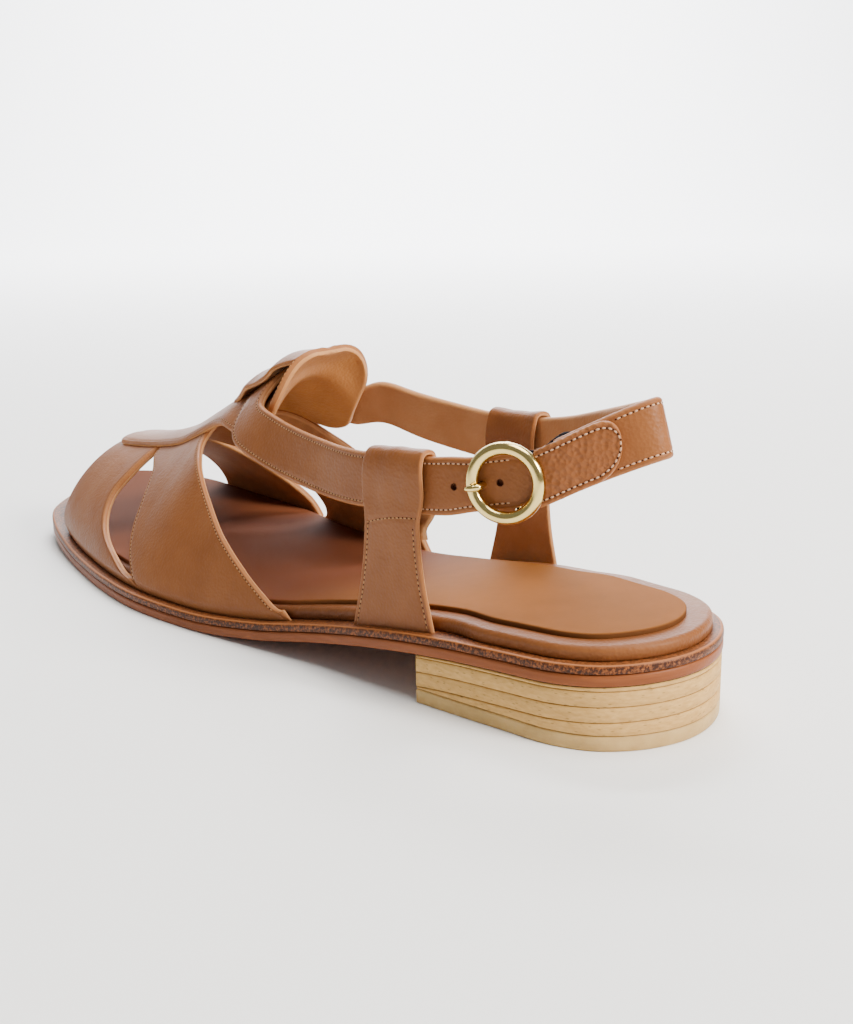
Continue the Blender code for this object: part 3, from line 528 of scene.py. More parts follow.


# Painted shade: the wrap's calf is darker and redder from the waist to the toe, where the straps shade it
wrap_calf = leather("tan calf of the footbed", "#704121", "#7e4d2a", "#9d6339", 0.42, toe_shade="#633a22")
RIM_STEPS = 7
footbed_rows = [(0.0003, 0.0, 0.0), (0.0, GAP, 0.0)]
for step in range(RIM_STEPS + 1):
    turn = math.pi / 2 * step / RIM_STEPS
    across = FOOTBED_RIM * (1 - math.cos(turn))
    up = FOOTBED_THICKNESS - FOOTBED_RIM * (1 - math.sin(turn))
    footbed_rows.append((across, up, 0.0))
footbed = sole_stack("footbed_wrap", levels_over(welt_top, footbed_rows, footbed_level), wrap_calf)
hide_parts("footbed")


# SOCK
# The sock is a thin tan lining leather glued on the footbed, wide at the ball and set in
# from the rolled rim round the heel. A thin dark line shows at its cut edge.
SOCK_THICKNESS = 0.0009
SOCK_MARGIN_LATERAL = 0.0047
SOCK_MARGIN_MEDIAL = 0.0062
SOCK_MARGIN_FRONT = 0.0007


def sock_level(extra):
    """Inset of the edge of the sock, which covers less of the footbed round the heel."""
    def inset(share, side):
        medial = 0.5 - 0.5 * side * ease(0.0, 0.06, share)
        rear = SOCK_MARGIN_LATERAL + (SOCK_MARGIN_MEDIAL - SOCK_MARGIN_LATERAL) * medial
        front = SOCK_MARGIN_FRONT + FOOTBED_RIM
        return footbed_inset(share) + rear + (front - rear) * ease(0.24, 0.42, share) + extra

    return inset


# Lining leather: matt golden tan, its edge mark drawing the dark cut line
sock_leather, tree, shader, place = finish_for("golden tan lining leather", 0.70, 0.05)
base_tone = blend(tree, noise(tree, place, 90.0, 5.0, 0.6), "#74451c", "#895426")
# Painted shade: the sock is darker and redder from the waist to the toe, where the straps shade it, and the
# cut line fades out there
forward = toward_toe(tree, place)
toe_shade_tone = blend(tree, forward, base_tone, "#633722")
cut_mark = add_node(tree, "ShaderNodeAttribute", attribute_name="mark").outputs["Fac"]
heelward = add_node(tree, "ShaderNodeMath", {0: 1.0, 1: forward}, operation="SUBTRACT").outputs[0]
cut_share = add_node(tree, "ShaderNodeMath", {0: cut_mark, 1: heelward}, operation="MULTIPLY")
tone = blend(tree, cut_share.outputs[0], toe_shade_tone, "#5b371c")
dye(tree, shader, tone, noise(tree, place, 2200.0, 3.0), 0.3, 0.00008)

footbed_top = raised(welt_top, FOOTBED_THICKNESS)
sock_top = SOCK_THICKNESS + GAP
sock_rows = (
    (0.0, 0.0, 1.0),
    (0.0, sock_top - 0.0003, 1.0),
    (0.0001, sock_top - 0.0001, 0.5),
    (0.0003, sock_top, 0.0),
    (0.0006, sock_top, 0.0),
    (0.0040, sock_top, 0.0),
)
sock = sole_stack("sock_lining", levels_over(footbed_top, sock_rows, sock_level), sock_leather)
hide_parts("sock")


# TOE STRAP
# The toe strap is a wide band of calf over the toes, lined with orange tan leather. Both
# ends go down beside the footbed into the welt. Its rear edge is folded over and light, with
# a crease line just in front of the fold.
INSTEP_HEIGHT = 0.0710
STRAP_FOOT = 0.0022
STRAP_ROWS = 150
# How far the visible strap goes on down into the welt
BURIED = 0.0010
# The edges of the strap's foot run on as they do above it, from this share of the way round
FOOT_FROM = 0.93
FOOT_SLANT = 0.9

# The foot form's outer sections, from the instep to the toe
LAST = (
    # length, share of instep height, exponent, crest radius as a share of ball width
    (0.45, 1.000, 1.15, 0.19),
    (0.48, 0.935, 1.15, 0.19),
    (0.50, 0.875, 1.15, 0.19),
    (0.54, 0.805, 1.17, 0.18),
    (0.58, 0.778, 1.20, 0.16),
    (0.61, 0.728, 1.21, 0.15),
    (0.64, 0.675, 1.22, 0.13),
    (0.69, 0.590, 1.30, 0.10),
    (0.75, 0.525, 1.38, 0.09),
    (0.81, 0.483, 1.48, 0.08),
    (0.865, 0.454, 1.60, 0.07),
    (0.92, 0.400, 1.70, 0.07),
)

# Edges of the straps from the outer base (1) over the crest (0) to the inner base (-1)
STRAP_EDGES = (
    # around, toe front, toe rear, wide front, wide rear
    (1.00, 0.857, 0.619, 0.613, 0.388),
    (0.88, 0.868, 0.665, 0.628, 0.414),
    (0.78, 0.868, 0.712, 0.646, 0.450),
    (0.68, 0.867, 0.740, 0.661, 0.490),
    (0.56, 0.866, 0.754, 0.675, 0.537),
    (0.43, 0.865, 0.751, 0.697, 0.589),
    (0.28, 0.864, 0.749, 0.738, 0.626),
    (0.00, 0.864, 0.750, 0.740, 0.640),
    (-0.28, 0.866, 0.750, 0.738, 0.585),
    (-0.43, 0.868, 0.744, 0.690, 0.534),
    (-0.56, 0.870, 0.730, 0.664, 0.501),
    (-0.68, 0.872, 0.706, 0.652, 0.478),
    (-0.80, 0.874, 0.684, 0.647, 0.460),
    (-1.00, 0.876, 0.675, 0.671, 0.446),
)

# Distances from an edge at which a sheet has lines of points, in millimetres
NEAR_EDGE = (0.0, 0.03, 0.12, 0.28, 0.50, 0.75, 1.00, 1.20, 1.40, 1.60, 1.85, 2.20)


def last_section(share):
    height = smooth_read(LAST, 1, share) * INSTEP_HEIGHT
    exponent = smooth_read(LAST, 2, share)
    crest = smooth_read(LAST, 3, share) * BALL_LATERAL
    return height, exponent, crest


def last_reach(share, side, crest):
    edge = abs(side_x(share, side)) - WELT_LEDGE
    return math.sqrt(edge * edge + crest * crest) - crest


def last_around(share, around):
    """Outer face of the straps: around is 1 at the lateral base, 0 at the crest and
    -1 at the medial base."""
    y = y_of(share)
    height, exponent, crest = last_section(share)
    base = welt_top(y) + GAP + STRAP_FOOT
    side = 1 if around >= 0 else -1
    angle = (1 - abs(around)) * math.pi / 2
    reach = last_reach(share, side, crest) * max(math.cos(angle), 0.0) ** (2 / exponent)
    x = side * math.sqrt(max((reach + crest) ** 2 - crest * crest, 0.0))
    z = base + (height - base) * math.sin(angle) ** (2 / exponent)
    return Vector((x, y, z))


def stations(width, between):
    """Distances across a width, close together near both edges."""
    near = np.array(NEAR_EDGE) / 1000
    near = near * min(1.0, 0.4 * width / near[-1])
    inner = near[-1] + (width - 2 * near[-1]) * np.arange(1, between) / between
    return np.concatenate((near, inner, width - near[::-1]))


def strap_grid(front, rear, between):
    """Points of a strap's outer face, row by row from the outer base to the inner one."""
    rows = []
    for k in range(-1, STRAP_ROWS + 2):
        around = 1.0 - 2.0 * min(max(k, 0), STRAP_ROWS) / STRAP_ROWS
        start = smooth_read(STRAP_EDGES, front, around)
        stop = smooth_read(STRAP_EDGES, rear, around)
        if k in (-1, STRAP_ROWS + 1):
            start += FOOT_SLANT * (start - smooth_read(STRAP_EDGES, front, FOOT_FROM * around))
            stop += FOOT_SLANT * (stop - smooth_read(STRAP_EDGES, rear, FOOT_FROM * around))
        width = abs(stop - start) * SOLE_LENGTH
        row = []
        for distance in stations(width, between):
            point = last_around(start + (stop - start) * distance / width, around)
            if k in (-1, STRAP_ROWS + 1):
                point.z -= STRAP_FOOT + BURIED
            row.append(point)
        rows.append(row)
    return np.array(rows)


def lengths(points, axis):
    """Distance travelled along an axis of a grid."""
    steps = np.linalg.norm(np.diff(points, axis=axis), axis=2)
    start = np.zeros_like(np.take(steps, [0], axis=axis))
    return np.concatenate((start, np.cumsum(steps, axis=axis)), axis=axis)


def face_of(points, thickness, outward, middle=False, relief=None):
    """A sheet's outer face: points, outward vectors and distances from its four edges, in
    millimetres. The points given lie on that face, or midway through the sheet."""
    out = np.cross(np.gradient(points, axis=0), np.gradient(points, axis=1))
    out /= np.maximum(np.linalg.norm(out, axis=2, keepdims=True), 1e-12)
    centre = (points.shape[0] // 2, points.shape[1] // 2)
    if np.dot(out[centre], outward) < 0:
        out = -out
    along = lengths(points, 0) * 1000
    across = lengths(points, 1) * 1000
    face = {
        "out": out,
        "first": along,
        "last": along[-1:] - along,
        "front": across,
        "rear": across[:, -1:] - across,
        "middle": points - out * (0.0 if middle else thickness / 2),
    }
    face["sides"] = np.minimum(face["front"], face["rear"])
    edge = np.minimum(np.minimum(face["first"], face["last"]), face["sides"])
    roll = thickness / 2 * 1000
    half = thickness / 2 * np.sqrt(1 - (1 - np.minimum(edge / roll, 1.0)) ** 2)
    face["half"] = half
    face["edge"] = edge
    raise_by = np.zeros_like(half) if relief is None else relief(face) * np.minimum(edge / roll, 1.0)
    face["points"] = face["middle"] + out * (half + raise_by)[:, :, None]
    return face


def trough(distance, at, width, depth):
    """Soft groove along a line at a distance, as a drop in metres."""
    return -depth * np.exp(-((distance - at) / width) ** 2)


def sheet_piece(name, face, finishes, fold=None):
    """Closed sheet with rounded edges: the outer face in the first finish and the inner
    face in the last one."""
    tall, wide = face["half"].shape
    inner = face["middle"] - face["out"] * face["half"][:, :, None]
    vertices = np.concatenate((face["points"].reshape(-1, 3), inner.reshape(-1, 3)))
    count = tall * wide
    faces = []
    kinds = []
    for i in range(tall - 1):
        for j in range(wide - 1):
            quad = [i * wide + j, i * wide + j + 1, (i + 1) * wide + j + 1, (i + 1) * wide + j]
            faces.append(quad)
            faces.append([index + count for index in reversed(quad)])
            kinds += [0, len(finishes) - 1]
    marks = np.zeros((tall, wide)) if fold is None else fold(face)
    return new_piece(
        name, vertices.tolist(), faces, finishes, kinds,
        {"fold": np.tile(marks.reshape(-1), 2).tolist()}, sharp=70,
    )


def near(distance, reach, blur=0.25):
    """1 up to a distance in millimetres, then softly 0."""
    return np.clip((reach + blur - distance) / (2 * blur), 0.0, 1.0)


def cut_edge(face):
    """Light line along every cut edge."""
    return 0.6 * near(face["edge"], 0.45, 0.2)


# Lining: orange tan, a little glossier than the sock
lining = leather("orange tan lining", "#ab7448", "#bd875a", "#c08a5c", roughness=0.55)
# Distance in millimetres of the crease in front of the folded rear edge, and the fold's rise
FOLD_WIDTH = 1.6
FOLD_RISE = 0.00016


def waves(face, height, along, across, phase=0.0):
    """Slow waves along and across a strap, with their reaches in millimetres."""
    return height * np.sin(face["first"] / along + phase) * np.sin(face["front"] / across)


def toe_relief(face):
    roll = FOLD_RISE * near(face["rear"], FOLD_WIDTH - 0.3, 0.4)
    return roll + trough(face["rear"], FOLD_WIDTH, 0.28, 0.00022) + waves(face, 0.00006, 5.5, 6.5)


toe_face = face_of(strap_grid(front=1, rear=2, between=26), STRAP_LEATHER, (0, 0, 1), relief=toe_relief)
toe_strap = sheet_piece(
    "toe_strap_leather", toe_face, [calf, lining],
    lambda face: np.maximum(0.7 * near(face["rear"], FOLD_WIDTH - 0.1), cut_edge(face)),
)
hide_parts("upper")


# WIDE STRAP
# The wide strap crosses the instep, much wider at the welt than over the foot. It is lined
# like the toe strap, and a row of thread runs just inside its front and its rear edge.
STITCH_PITCH = 0.00125
THREAD_WIDTH = 0.00040
THREAD_RISE = 0.00030
HOLE_RISE = 0.00026
# Distance of the thread from an edge, in millimetres
STITCH_INSET = 1.4


def wide_relief(face):
    return trough(face["sides"], STITCH_INSET, 0.45, 0.00014) + waves(face, 0.00007, 6.0, 8.0, 1.0)


wide_face = face_of(strap_grid(front=3, rear=4, between=34), STRAP_LEATHER, (0, 0, 1), relief=wide_relief)
wide_strap = sheet_piece(
    "wide_strap_leather", wide_face, [calf, lining],
    lambda face: np.maximum(0.6 * near(face["rear"], 0.8, 0.3), cut_edge(face)),
)
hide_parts("upper")


def stitch_tree():
    """Nodes that set a thread stitch and, half a pitch on, a dark bead of painted needle hole shade at every
    seat of a seam.
    """
    tree = bpy.data.node_groups.new("thread seam", "GeometryNodeTree")
    sockets = (
        ("Seats", "NodeSocketGeometry"), ("Length", "NodeSocketFloat"), ("Width", "NodeSocketFloat"),
        ("Rise", "NodeSocketFloat"), ("Pitch", "NodeSocketFloat"), ("Seed", "NodeSocketInt"),
        ("Thread", "NodeSocketMaterial"), ("Hole", "NodeSocketMaterial"),
    )
    for name, kind in sockets:
        tree.interface.new_socket(name, in_out="INPUT", socket_type=kind)
    tree.interface.new_socket("Seam", in_out="OUTPUT", socket_type="NodeSocketGeometry")
    given = add_node(tree, "NodeGroupInput").outputs

    def step(kind, inputs, **settings):
        return add_node(tree, kind, inputs, **settings).outputs[0]

    along = step("GeometryNodeInputNamedAttribute", {"Name": "along"}, data_type="FLOAT_VECTOR")
    out = step("GeometryNodeInputNamedAttribute", {"Name": "out"}, data_type="FLOAT_VECTOR")
    turned = step("FunctionNodeAlignRotationToVector", {"Vector": along}, axis="X")
    turned = step(
        "FunctionNodeAlignRotationToVector", {"Rotation": turned, "Vector": out}, axis="Z", pivot_axis="X"
    )
    uneven = step(
        "FunctionNodeRandomValue",
        {0: (0.92, 0.92, 0.9), 1: (1.06, 1.08, 1.1), "Seed": given["Seed"]}, data_type="FLOAT_VECTOR",
    )
    thread = step("ShaderNodeCombineXYZ", {"X": given["Length"], "Y": given["Width"], "Z": given["Rise"]})
    hole = step("ShaderNodeCombineXYZ", {"X": given["Width"], "Y": given["Width"], "Z": HOLE_RISE})
    half_step = step("ShaderNodeMath", {0: given["Pitch"], 1: 0.5}, operation="MULTIPLY")
    forward = step("ShaderNodeVectorMath", {0: along, "Scale": half_step}, operation="SCALE")
    between = step("GeometryNodeSetPosition", {"Geometry": given["Seats"], "Offset": forward})

    def beads(seats, segments, rings, size, finish, more):
        """Flat round beads of one size and finish, one on each seat."""
        bead = step("GeometryNodeMeshUVSphere", {"Segments": segments, "Rings": rings, "Radius": 0.5})
        bead = step("GeometryNodeTransform", {"Geometry": bead, "Scale": size})
        bead = step("GeometryNodeSetMaterial", {"Geometry": bead, "Material": finish})
        where = {"Points": seats, "Instance": bead, "Rotation": turned, **more}
        return step("GeometryNodeInstanceOnPoints", where)

    joined = add_node(tree, "GeometryNodeJoinGeometry")
    # Painted shade: a dark bead between two stitches stands in for the needle hole
    tree.links.new(beads(between, 8, 4, hole, given["Hole"], {}), joined.inputs[0])
    threads = beads(given["Seats"], 10, 6, thread, given["Thread"], {"Scale": uneven})
    tree.links.new(threads, joined.inputs[0])
    real = step("GeometryNodeRealizeInstances", {"Geometry": joined.outputs[0]})
    add_node(tree, "NodeGroupOutput", {"Seam": real})
    return tree


seam_nodes = stitch_tree()

# Threads: waxed tan on the upper, the stays and the ankle strap's front, pinkish beige on
# the rest of the ankle strap and the tab; between two stitches a dark bead is painted shade of the needle
# hole
tan_thread = even_finish("waxed tan thread", "#a87a52", 0.55)
beige_thread = even_finish("waxed beige thread", "#c79c7c", 0.55)
needle_hole_shade = even_finish("painted needle hole shade", "#33190c", 0.8)


def read_at(at, places, values):
    """Values of a run of points, read between them at other places."""
    return np.stack([np.interp(at, places, values[:, k]) for k in range(3)], axis=-1)


def seam_line(face, edge, inset=STITCH_INSET, start=0.0, stop=1.0):
    """Places and outward vectors on a face at an even distance from one of its edges."""
    points, out, away = face["points"], face["out"], face[edge]
    if edge in ("first", "last"):
        points, out, away = points.transpose(1, 0, 2), out.transpose(1, 0, 2), away.T
    count = len(away)
    line = []
    for i in range(round(start * (count - 1)), round(stop * (count - 1)) + 1):
        order = np.argsort(away[i])
        if away[i].max() < 1.8 * inset:
            continue
        line.append([read_at(inset, away[i][order], values[i][order]) for values in (points, out)])
    return line


def both_edges(face, start, stop, edges=("front", "rear")):
    return [seam_line(face, edge, start=start, stop=stop) for edge in edges]


def stitch(name, lines, thread=tan_thread, pitch=STITCH_PITCH, seed=3):
    """Seam piece with evenly spaced stitches along lines of places."""
    seats = []
    for line in lines:
        spots = np.array([spot for spot, lift in line])
        lifts = np.array([lift for spot, lift in line])
        travelled = np.concatenate(([0.0], np.cumsum(np.linalg.norm(np.diff(spots, axis=0), axis=1))))
        count = max(int(travelled[-1] / pitch), 2)
        at = travelled[-1] * (np.arange(count) + 0.5) / count
        lift = read_at(at, travelled, lifts)
        run = read_at(at + pitch / 4, travelled, spots) - read_at(at - pitch / 4, travelled, spots)
        run /= np.linalg.norm(run, axis=1, keepdims=True)
        lift /= np.linalg.norm(lift, axis=1, keepdims=True)
        seats.append((read_at(at, travelled, spots), run, lift))
    places = np.concatenate([seat[0] for seat in seats]) + (CENTRE_SHIFT, 0.0, 0.0)
    mesh = bpy.data.meshes.new(name)
    mesh.from_pydata(places.tolist(), [], [])
    for key, column in (("along", 1), ("out", 2)):
        values = np.concatenate([seat[column] for seat in seats]).reshape(-1)
        mesh.attributes.new(key, "FLOAT_VECTOR", "POINT").data.foreach_set("vector", values)
    carrier = placed(name + "_seats", mesh)
    grow = carrier.modifiers.new("seam", "NODES")
    grow.node_group = seam_nodes
    values = {
        "Length": 0.66 * pitch, "Width": THREAD_WIDTH, "Rise": THREAD_RISE, "Pitch": pitch, "Seed": seed,
        "Thread": thread, "Hole": needle_hole_shade,
    }
    for item in seam_nodes.interface.items_tree:
        if item.in_out == "INPUT" and item.name in values:
            grow[item.identifier] = values[item.name]
    graph = bpy.context.evaluated_depsgraph_get()
    grown = bpy.data.meshes.new_from_object(carrier.evaluated_get(graph))
    bpy.data.objects.remove(carrier, do_unlink=True)
    smooth(grown)
    made = placed(name, grown)
    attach(made, "root")


stitch("wide_strap_thread", both_edges(wide_face, 0.02, 0.98, ("rear", "front")))


# CENTRE STRIP AND TONGUE
# The centre strip lies on both straps from the toe strap up the instep and ends in a round
# free tongue. It is stitched down along both sides, and the tongue's lined end is rolled.
STRIP_RISE = 0.0014
STRIP_HALF_WIDTH = 0.0120
TONGUE_END = 0.0100
TONGUE_FROM = -0.0030
TONGUE_ARCH = 0.014
TONGUE_ARCH_HALF_WIDTH = 0.016
STRIP_FRONT = -0.0915
STRIP_FRONT_ROUND = 0.0040
TONGUE_ROUND = 0.0062
TONGUE_SKEW = 0.0010
STRIP_ROWS = 130
# Length of the tongue's rolled rim from its end, in millimetres
TONGUE_ROLLED = 26.0
# Soft fold across the tongue: depth, distance from its end, reach
TONGUE_FOLD = 0.0006
FOLD_AT = 0.0085
FOLD_REACH = 0.0022

STRIP = (
    # share of the length, share of the centre strip's half width
    (0.44, 1.24),
    (0.49, 1.19),
    (0.52, 1.34),
    (0.56, 1.27),
    (0.61, 1.05),
    (0.68, 1.00),
    (0.75, 0.85),
    (0.86, 0.70),
)


def last_over(x, y):
    """Outer face of the straps over a place near the crest, an arch towards the tongue."""
    share = share_of(y)
    height, exponent, crest = last_section(share)
    base = welt_top(y) + GAP + STRAP_FOOT
    side = 1 if x >= 0 else -1
    reach = (math.sqrt(x * x + crest * crest) - crest) / last_reach(share, side, crest)
    z = base + (height - base) * max(1 - reach ** exponent, 0.0) ** (1 / exponent)
    arch = height - TONGUE_ARCH * (x / TONGUE_ARCH_HALF_WIDTH) ** 4
    z += (arch - z) * ease(TONGUE_FROM, TONGUE_END, y)
    return Vector((x, y, z))


def last_normal(x, y):
    step = 0.0015
    across = last_over(x + step, y) - last_over(x - step, y)
    along = last_over(x, y + step) - last_over(x, y - step)
    return across.cross(along).normalized()


def strip_half_width(y):
    """Half width of the centre strip, rounded off at the tongue and at the front."""
    half = smooth_read(STRIP, 1, share_of(y)) * STRIP_HALF_WIDTH
    back = max((y - (TONGUE_END - TONGUE_ROUND)) / TONGUE_ROUND, 0.0)
    ahead = max(((STRIP_FRONT + STRIP_FRONT_ROUND) - y) / STRIP_FRONT_ROUND, 0.0)
    for reach in (back, ahead):
        half *= (1 - min(reach, 1.0) ** 3) ** (1 / 3)
    return half


def above_last(x, y, rise):
    return last_over(x, y) + last_normal(x, y) * rise


def strip_grid():
    rows = []
    whole = TONGUE_END - STRIP_FRONT
    for distance in stations(0.999 * whole, STRIP_ROWS):
        y = STRIP_FRONT + 0.0005 * whole + distance
        half = strip_half_width(y)
        flare = ease(TONGUE_END - 3 * TONGUE_ROUND, TONGUE_END, y)
        row = []
        for across in stations(2 * half, 16):
            x = across - half
            back = y - TONGUE_SKEW * flare * x / STRIP_HALF_WIDTH
            fold = TONGUE_FOLD * math.exp(-(((TONGUE_END - y - FOLD_AT) / FOLD_REACH) ** 2))
            row.append(above_last(x, back, STRIP_RISE - fold))
        rows.append(row)
    return np.array(rows)


def on_tongue(face):
    """1 on the tongue's rolled end, then softly 0."""
    return near(face["last"], TONGUE_ROLLED, 4.0)


def strip_relief(face):
    """Rolled rim at the tongue's end, and soft creases where it bends back."""
    rim = 0.00020 * near(face["edge"], 1.5, 0.4) * on_tongue(face)
    inside = 1 - near(face["edge"], 3.0, 1.0)
    bends = np.sin(face["last"] / 1.9 + 0.6 * np.sin(face["front"] / 4.0))
    creases = 0.00006 * bends * near(face["last"], 16.0, 5.0) * inside
    seams = trough(face["sides"], STITCH_INSET, 0.45, 0.00012) * (1 - on_tongue(face))
    return rim + creases + seams


# Tongue lining: the brightest orange of the three linings
tongue_lining = leather("bright orange tongue lining", "#a86e3c", "#bb8049", "#c88f5c", roughness=0.42)
strip_face = face_of(strip_grid(), STRAP_LEATHER, (0, 0, 1), relief=strip_relief)
strip = sheet_piece(
    "centre_strip_leather", strip_face, [calf, tongue_lining],
    lambda face: np.maximum(0.6 * near(face["edge"], 1.3, 0.4) * on_tongue(face), cut_edge(face)),
)
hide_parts("upper")
stitch("centre_strip_thread", both_edges(strip_face, 0.10, 0.97))


# ANKLE STRAP
# The ankle strap is one long strip of calf with sewn edges. It starts at its tip in the ring,
# runs forward through the outer stay, over the instep under the bridge, back through the
# inner stay and round the heel. Its punched holes have dark rims.
ANKLE_WIDTH = 0.0128
ANKLE_THICKNESS = 0.0022
STAY_SPREAD = 0.0263
ANKLE_HEIGHT = 0.0486
BRIDGE_REACH_FROM = 0.51
BRIDGE_REACH_OUT = 0.60
RING_RADIUS = 0.00725
RING_WIRE = 0.00135
TIP_LENGTH = 0.0060
TIP_NARROWING = 0.92

# Mid line from the tip forward, over the instep, and round the heel to the buckle
ANKLE_PATH = (
    # share of length, of stay spread, of ankle height, lower edge's lean out and back
    (0.110, 0.660, 1.105, 0.02, 0.05),
    (0.133, 0.783, 1.084, 0.03, 0.05),
    (0.171, 0.913, 1.040, 0.04, 0.02),
    (0.205, 0.980, 1.012, 0.05, 0.00),
    (0.240, 1.000, 1.000, 0.07, 0.00),
    (0.305, 0.985, 0.965, 0.12, -0.03),
    (0.362, 0.900, 0.960, 0.22, -0.18),
    (0.442, 0.800, 0.985, 0.38, -0.25),
    (0.493, 0.745, 1.033, 0.45, -0.30),
    (0.517, 0.570, 1.140, 0.42, -0.48),
    (0.521, 0.300, 1.228, 0.22, -0.78),
    (0.520, 0.000, 1.262, 0.00, -0.88),
    (0.519, -0.300, 1.228, -0.22, -0.78),
    (0.515, -0.560, 1.150, -0.38, -0.50),
    (0.480, -0.775, 1.098, -0.26, -0.20),
    (0.440, -0.865, 1.045, -0.14, -0.08),
    (0.380, -0.960, 1.000, -0.06, -0.03),
    (0.300, -1.000, 0.977, -0.04, 0.00),
    (0.225, -0.890, 1.036, -0.02, 0.05),
    (0.160, -0.650, 1.130, 0.00, 0.10),
    (0.100, -0.340, 1.222, 0.00, 0.18),
    (0.054, -0.110, 1.295, 0.00, 0.32),
    (0.037, -0.010, 1.328, 0.04, 0.38),
    (0.044, 0.100, 1.315, 0.08, 0.32),
    (0.062, 0.285, 1.260, 0.06, 0.14),
    (0.082, 0.455, 1.200, 0.04, 0.08),
    (0.102, 0.600, 1.135, 0.03, 0.05),
)


def on_strip(x, y, lean_out, lean_back):
    """Mid point and width direction of the ankle strap where it lies on the centre strip."""
    plan = Vector((lean_out, lean_back)).normalized()
    reach = ANKLE_WIDTH / 2
    for attempt in range(4):
        low = above_last(x + plan.x * reach, y + plan.y * reach, STRIP_RISE)
        high = above_last(x - plan.x * reach, y - plan.y * reach, STRIP_RISE)
        reach *= ANKLE_WIDTH / (low - high).length
    lift = 3 * GAP + ANKLE_THICKNESS / 2
    return (low + high) / 2 + last_normal(x, y) * lift, (low - high).normalized()


def path_rows(samples):
    """Ankle strap's mid line and half width vector, through a smooth curve."""
    points = []
    leans = []
    for length, out, up, lean_out, lean_back in ANKLE_PATH:
        point = Vector((out * STAY_SPREAD, y_of(length), up * ANKLE_HEIGHT))
        lean = Vector((lean_out, lean_back, -math.sqrt(1 - lean_out ** 2 - lean_back ** 2)))
        if length > BRIDGE_REACH_FROM and abs(out) < BRIDGE_REACH_OUT:
            point, lean = on_strip(point.x, point.y, lean_out, lean_back)
        points.append(point)
        leans.append(lean)
    travelled = [0.0]
    for one, two in zip(points[:-1], points[1:]):
        travelled.append(travelled[-1] + (two - one).length)
    tables = []
    for k in range(3):
        tables.append([(at, point[k], lean[k]) for at, point, lean in zip(travelled, points, leans)])
    rows = []
    for i in range(samples + 1):
        at = travelled[-1] * i / samples
        middle = Vector([smooth_read(table, 1, at) for table in tables])
        width = Vector([smooth_read(table, 2, at) for table in tables]).normalized()
        rows.append((middle, width * ANKLE_WIDTH / 2, at))
    return rows


def read_rows(rows, place):
    """Mid point, half width and outward direction at a distance along the ankle strap."""
    i = 0
    while i < len(rows) - 2 and rows[i + 1][2] < place:
        i += 1
    f = (place - rows[i][2]) / (rows[i + 1][2] - rows[i][2])
    middle = rows[i][0].lerp(rows[i + 1][0], f)
    half = rows[i][1].lerp(rows[i + 1][1], f)
    ahead = rows[min(i + 2, len(rows) - 1)][0] - rows[max(i - 1, 0)][0]
    return middle, half, ahead.cross(half).normalized()


def frame_from(x_axis, y_axis, z_axis, origin):
    made = Matrix((x_axis, y_axis, z_axis)).transposed().to_4x4()
    made.translation = origin
    return made


def ring_frame(rows):
    """Ring's middle on the strap's mid line, as a frame: X back along the strap towards
    its tip, Y up across the strap and Z out of it."""
    reach = RING_RADIUS - RING_WIRE / 3
    i = min(range(len(rows)), key=lambda k: abs(rows[k][2] - reach))
    back = (rows[0][0] - rows[2 * i][0]).normalized()
    up = -rows[i][1].normalized()
    out = back.cross(up).normalized()
    up = out.cross(back).normalized()
    return frame_from(back, up, out, rows[0][0] - back * reach)


PATH_STEPS = 104
strap_rows = path_rows(PATH_STEPS)
buckle_frame = ring_frame(strap_rows)


FINE_STEPS = 560
# The tip's round end runs on a little past the strap's end, which leaves it blunt
TIP_BLUNT = 1.03


def evened(values, reach):
    """Run of vectors with its small waves taken out, its ends kept."""
    table = np.array(values)
    steps = np.arange(-3 * reach, 3 * reach + 1)
    weights = np.exp(-0.5 * (steps / reach) ** 2)
    weights /= weights.sum()
    side = 3 * reach
    before = 2 * table[0] - table[side:0:-1]
    after = 2 * table[-1] - table[-2:-side - 2:-1]
    padded = np.concatenate((before, table, after))
    return np.stack([np.convolve(padded[:, k], weights, "valid") for k in range(3)], axis=1)


def band_row(middle, half, width, between):
    """Points across a flat band at one place of its mid line."""
    return [middle + half.normalized() * (at - width / 2) for at in stations(width, between)]


def ankle_grid():
    rows = []
    fine = path_rows(FINE_STEPS)
    middles = evened([middle for middle, half, at in fine], 7)
    halves = evened([half for middle, half, at in fine], 10)
    for row, middle, half in zip(fine, middles, halves):
        at = row[2]
        middle = Vector(middle)
        half = Vector(half).normalized() * row[1].length
        narrow = TIP_NARROWING + (1 - TIP_NARROWING) * ease(2 * RING_RADIUS, 3 * RING_RADIUS, at)
        if at < TIP_LENGTH:
            narrow *= math.sqrt(max(1 - ((TIP_LENGTH - at) / (TIP_BLUNT * TIP_LENGTH)) ** 2, 0.0))
        width = 2 * half.length * narrow
        rows.append(band_row(middle, half, width, 8))
    return np.array(rows)


def ankle_relief(face):
    ripples = 0.00003 * np.sin(face["first"] / 3.1) * np.sin(face["first"] / 7.7 + face["front"] / 5.0)
    return trough(face["sides"], STITCH_INSET, 0.45, 0.00016) + ripples


ankle_points = ankle_grid()
middle_row = read_rows(strap_rows, strap_rows[-1][2] / 2)
ankle_face = face_of(ankle_points, ANKLE_THICKNESS, middle_row[2], middle=True, relief=ankle_relief)
ankle_strap = sheet_piece("ankle_strap_leather", ankle_face, [calf, lining], cut_edge)

# Hole lining: the leather's bare cut core, darker than its face
hole_lining = even_finish("cut core of the leather", "#6b4128", 0.8)


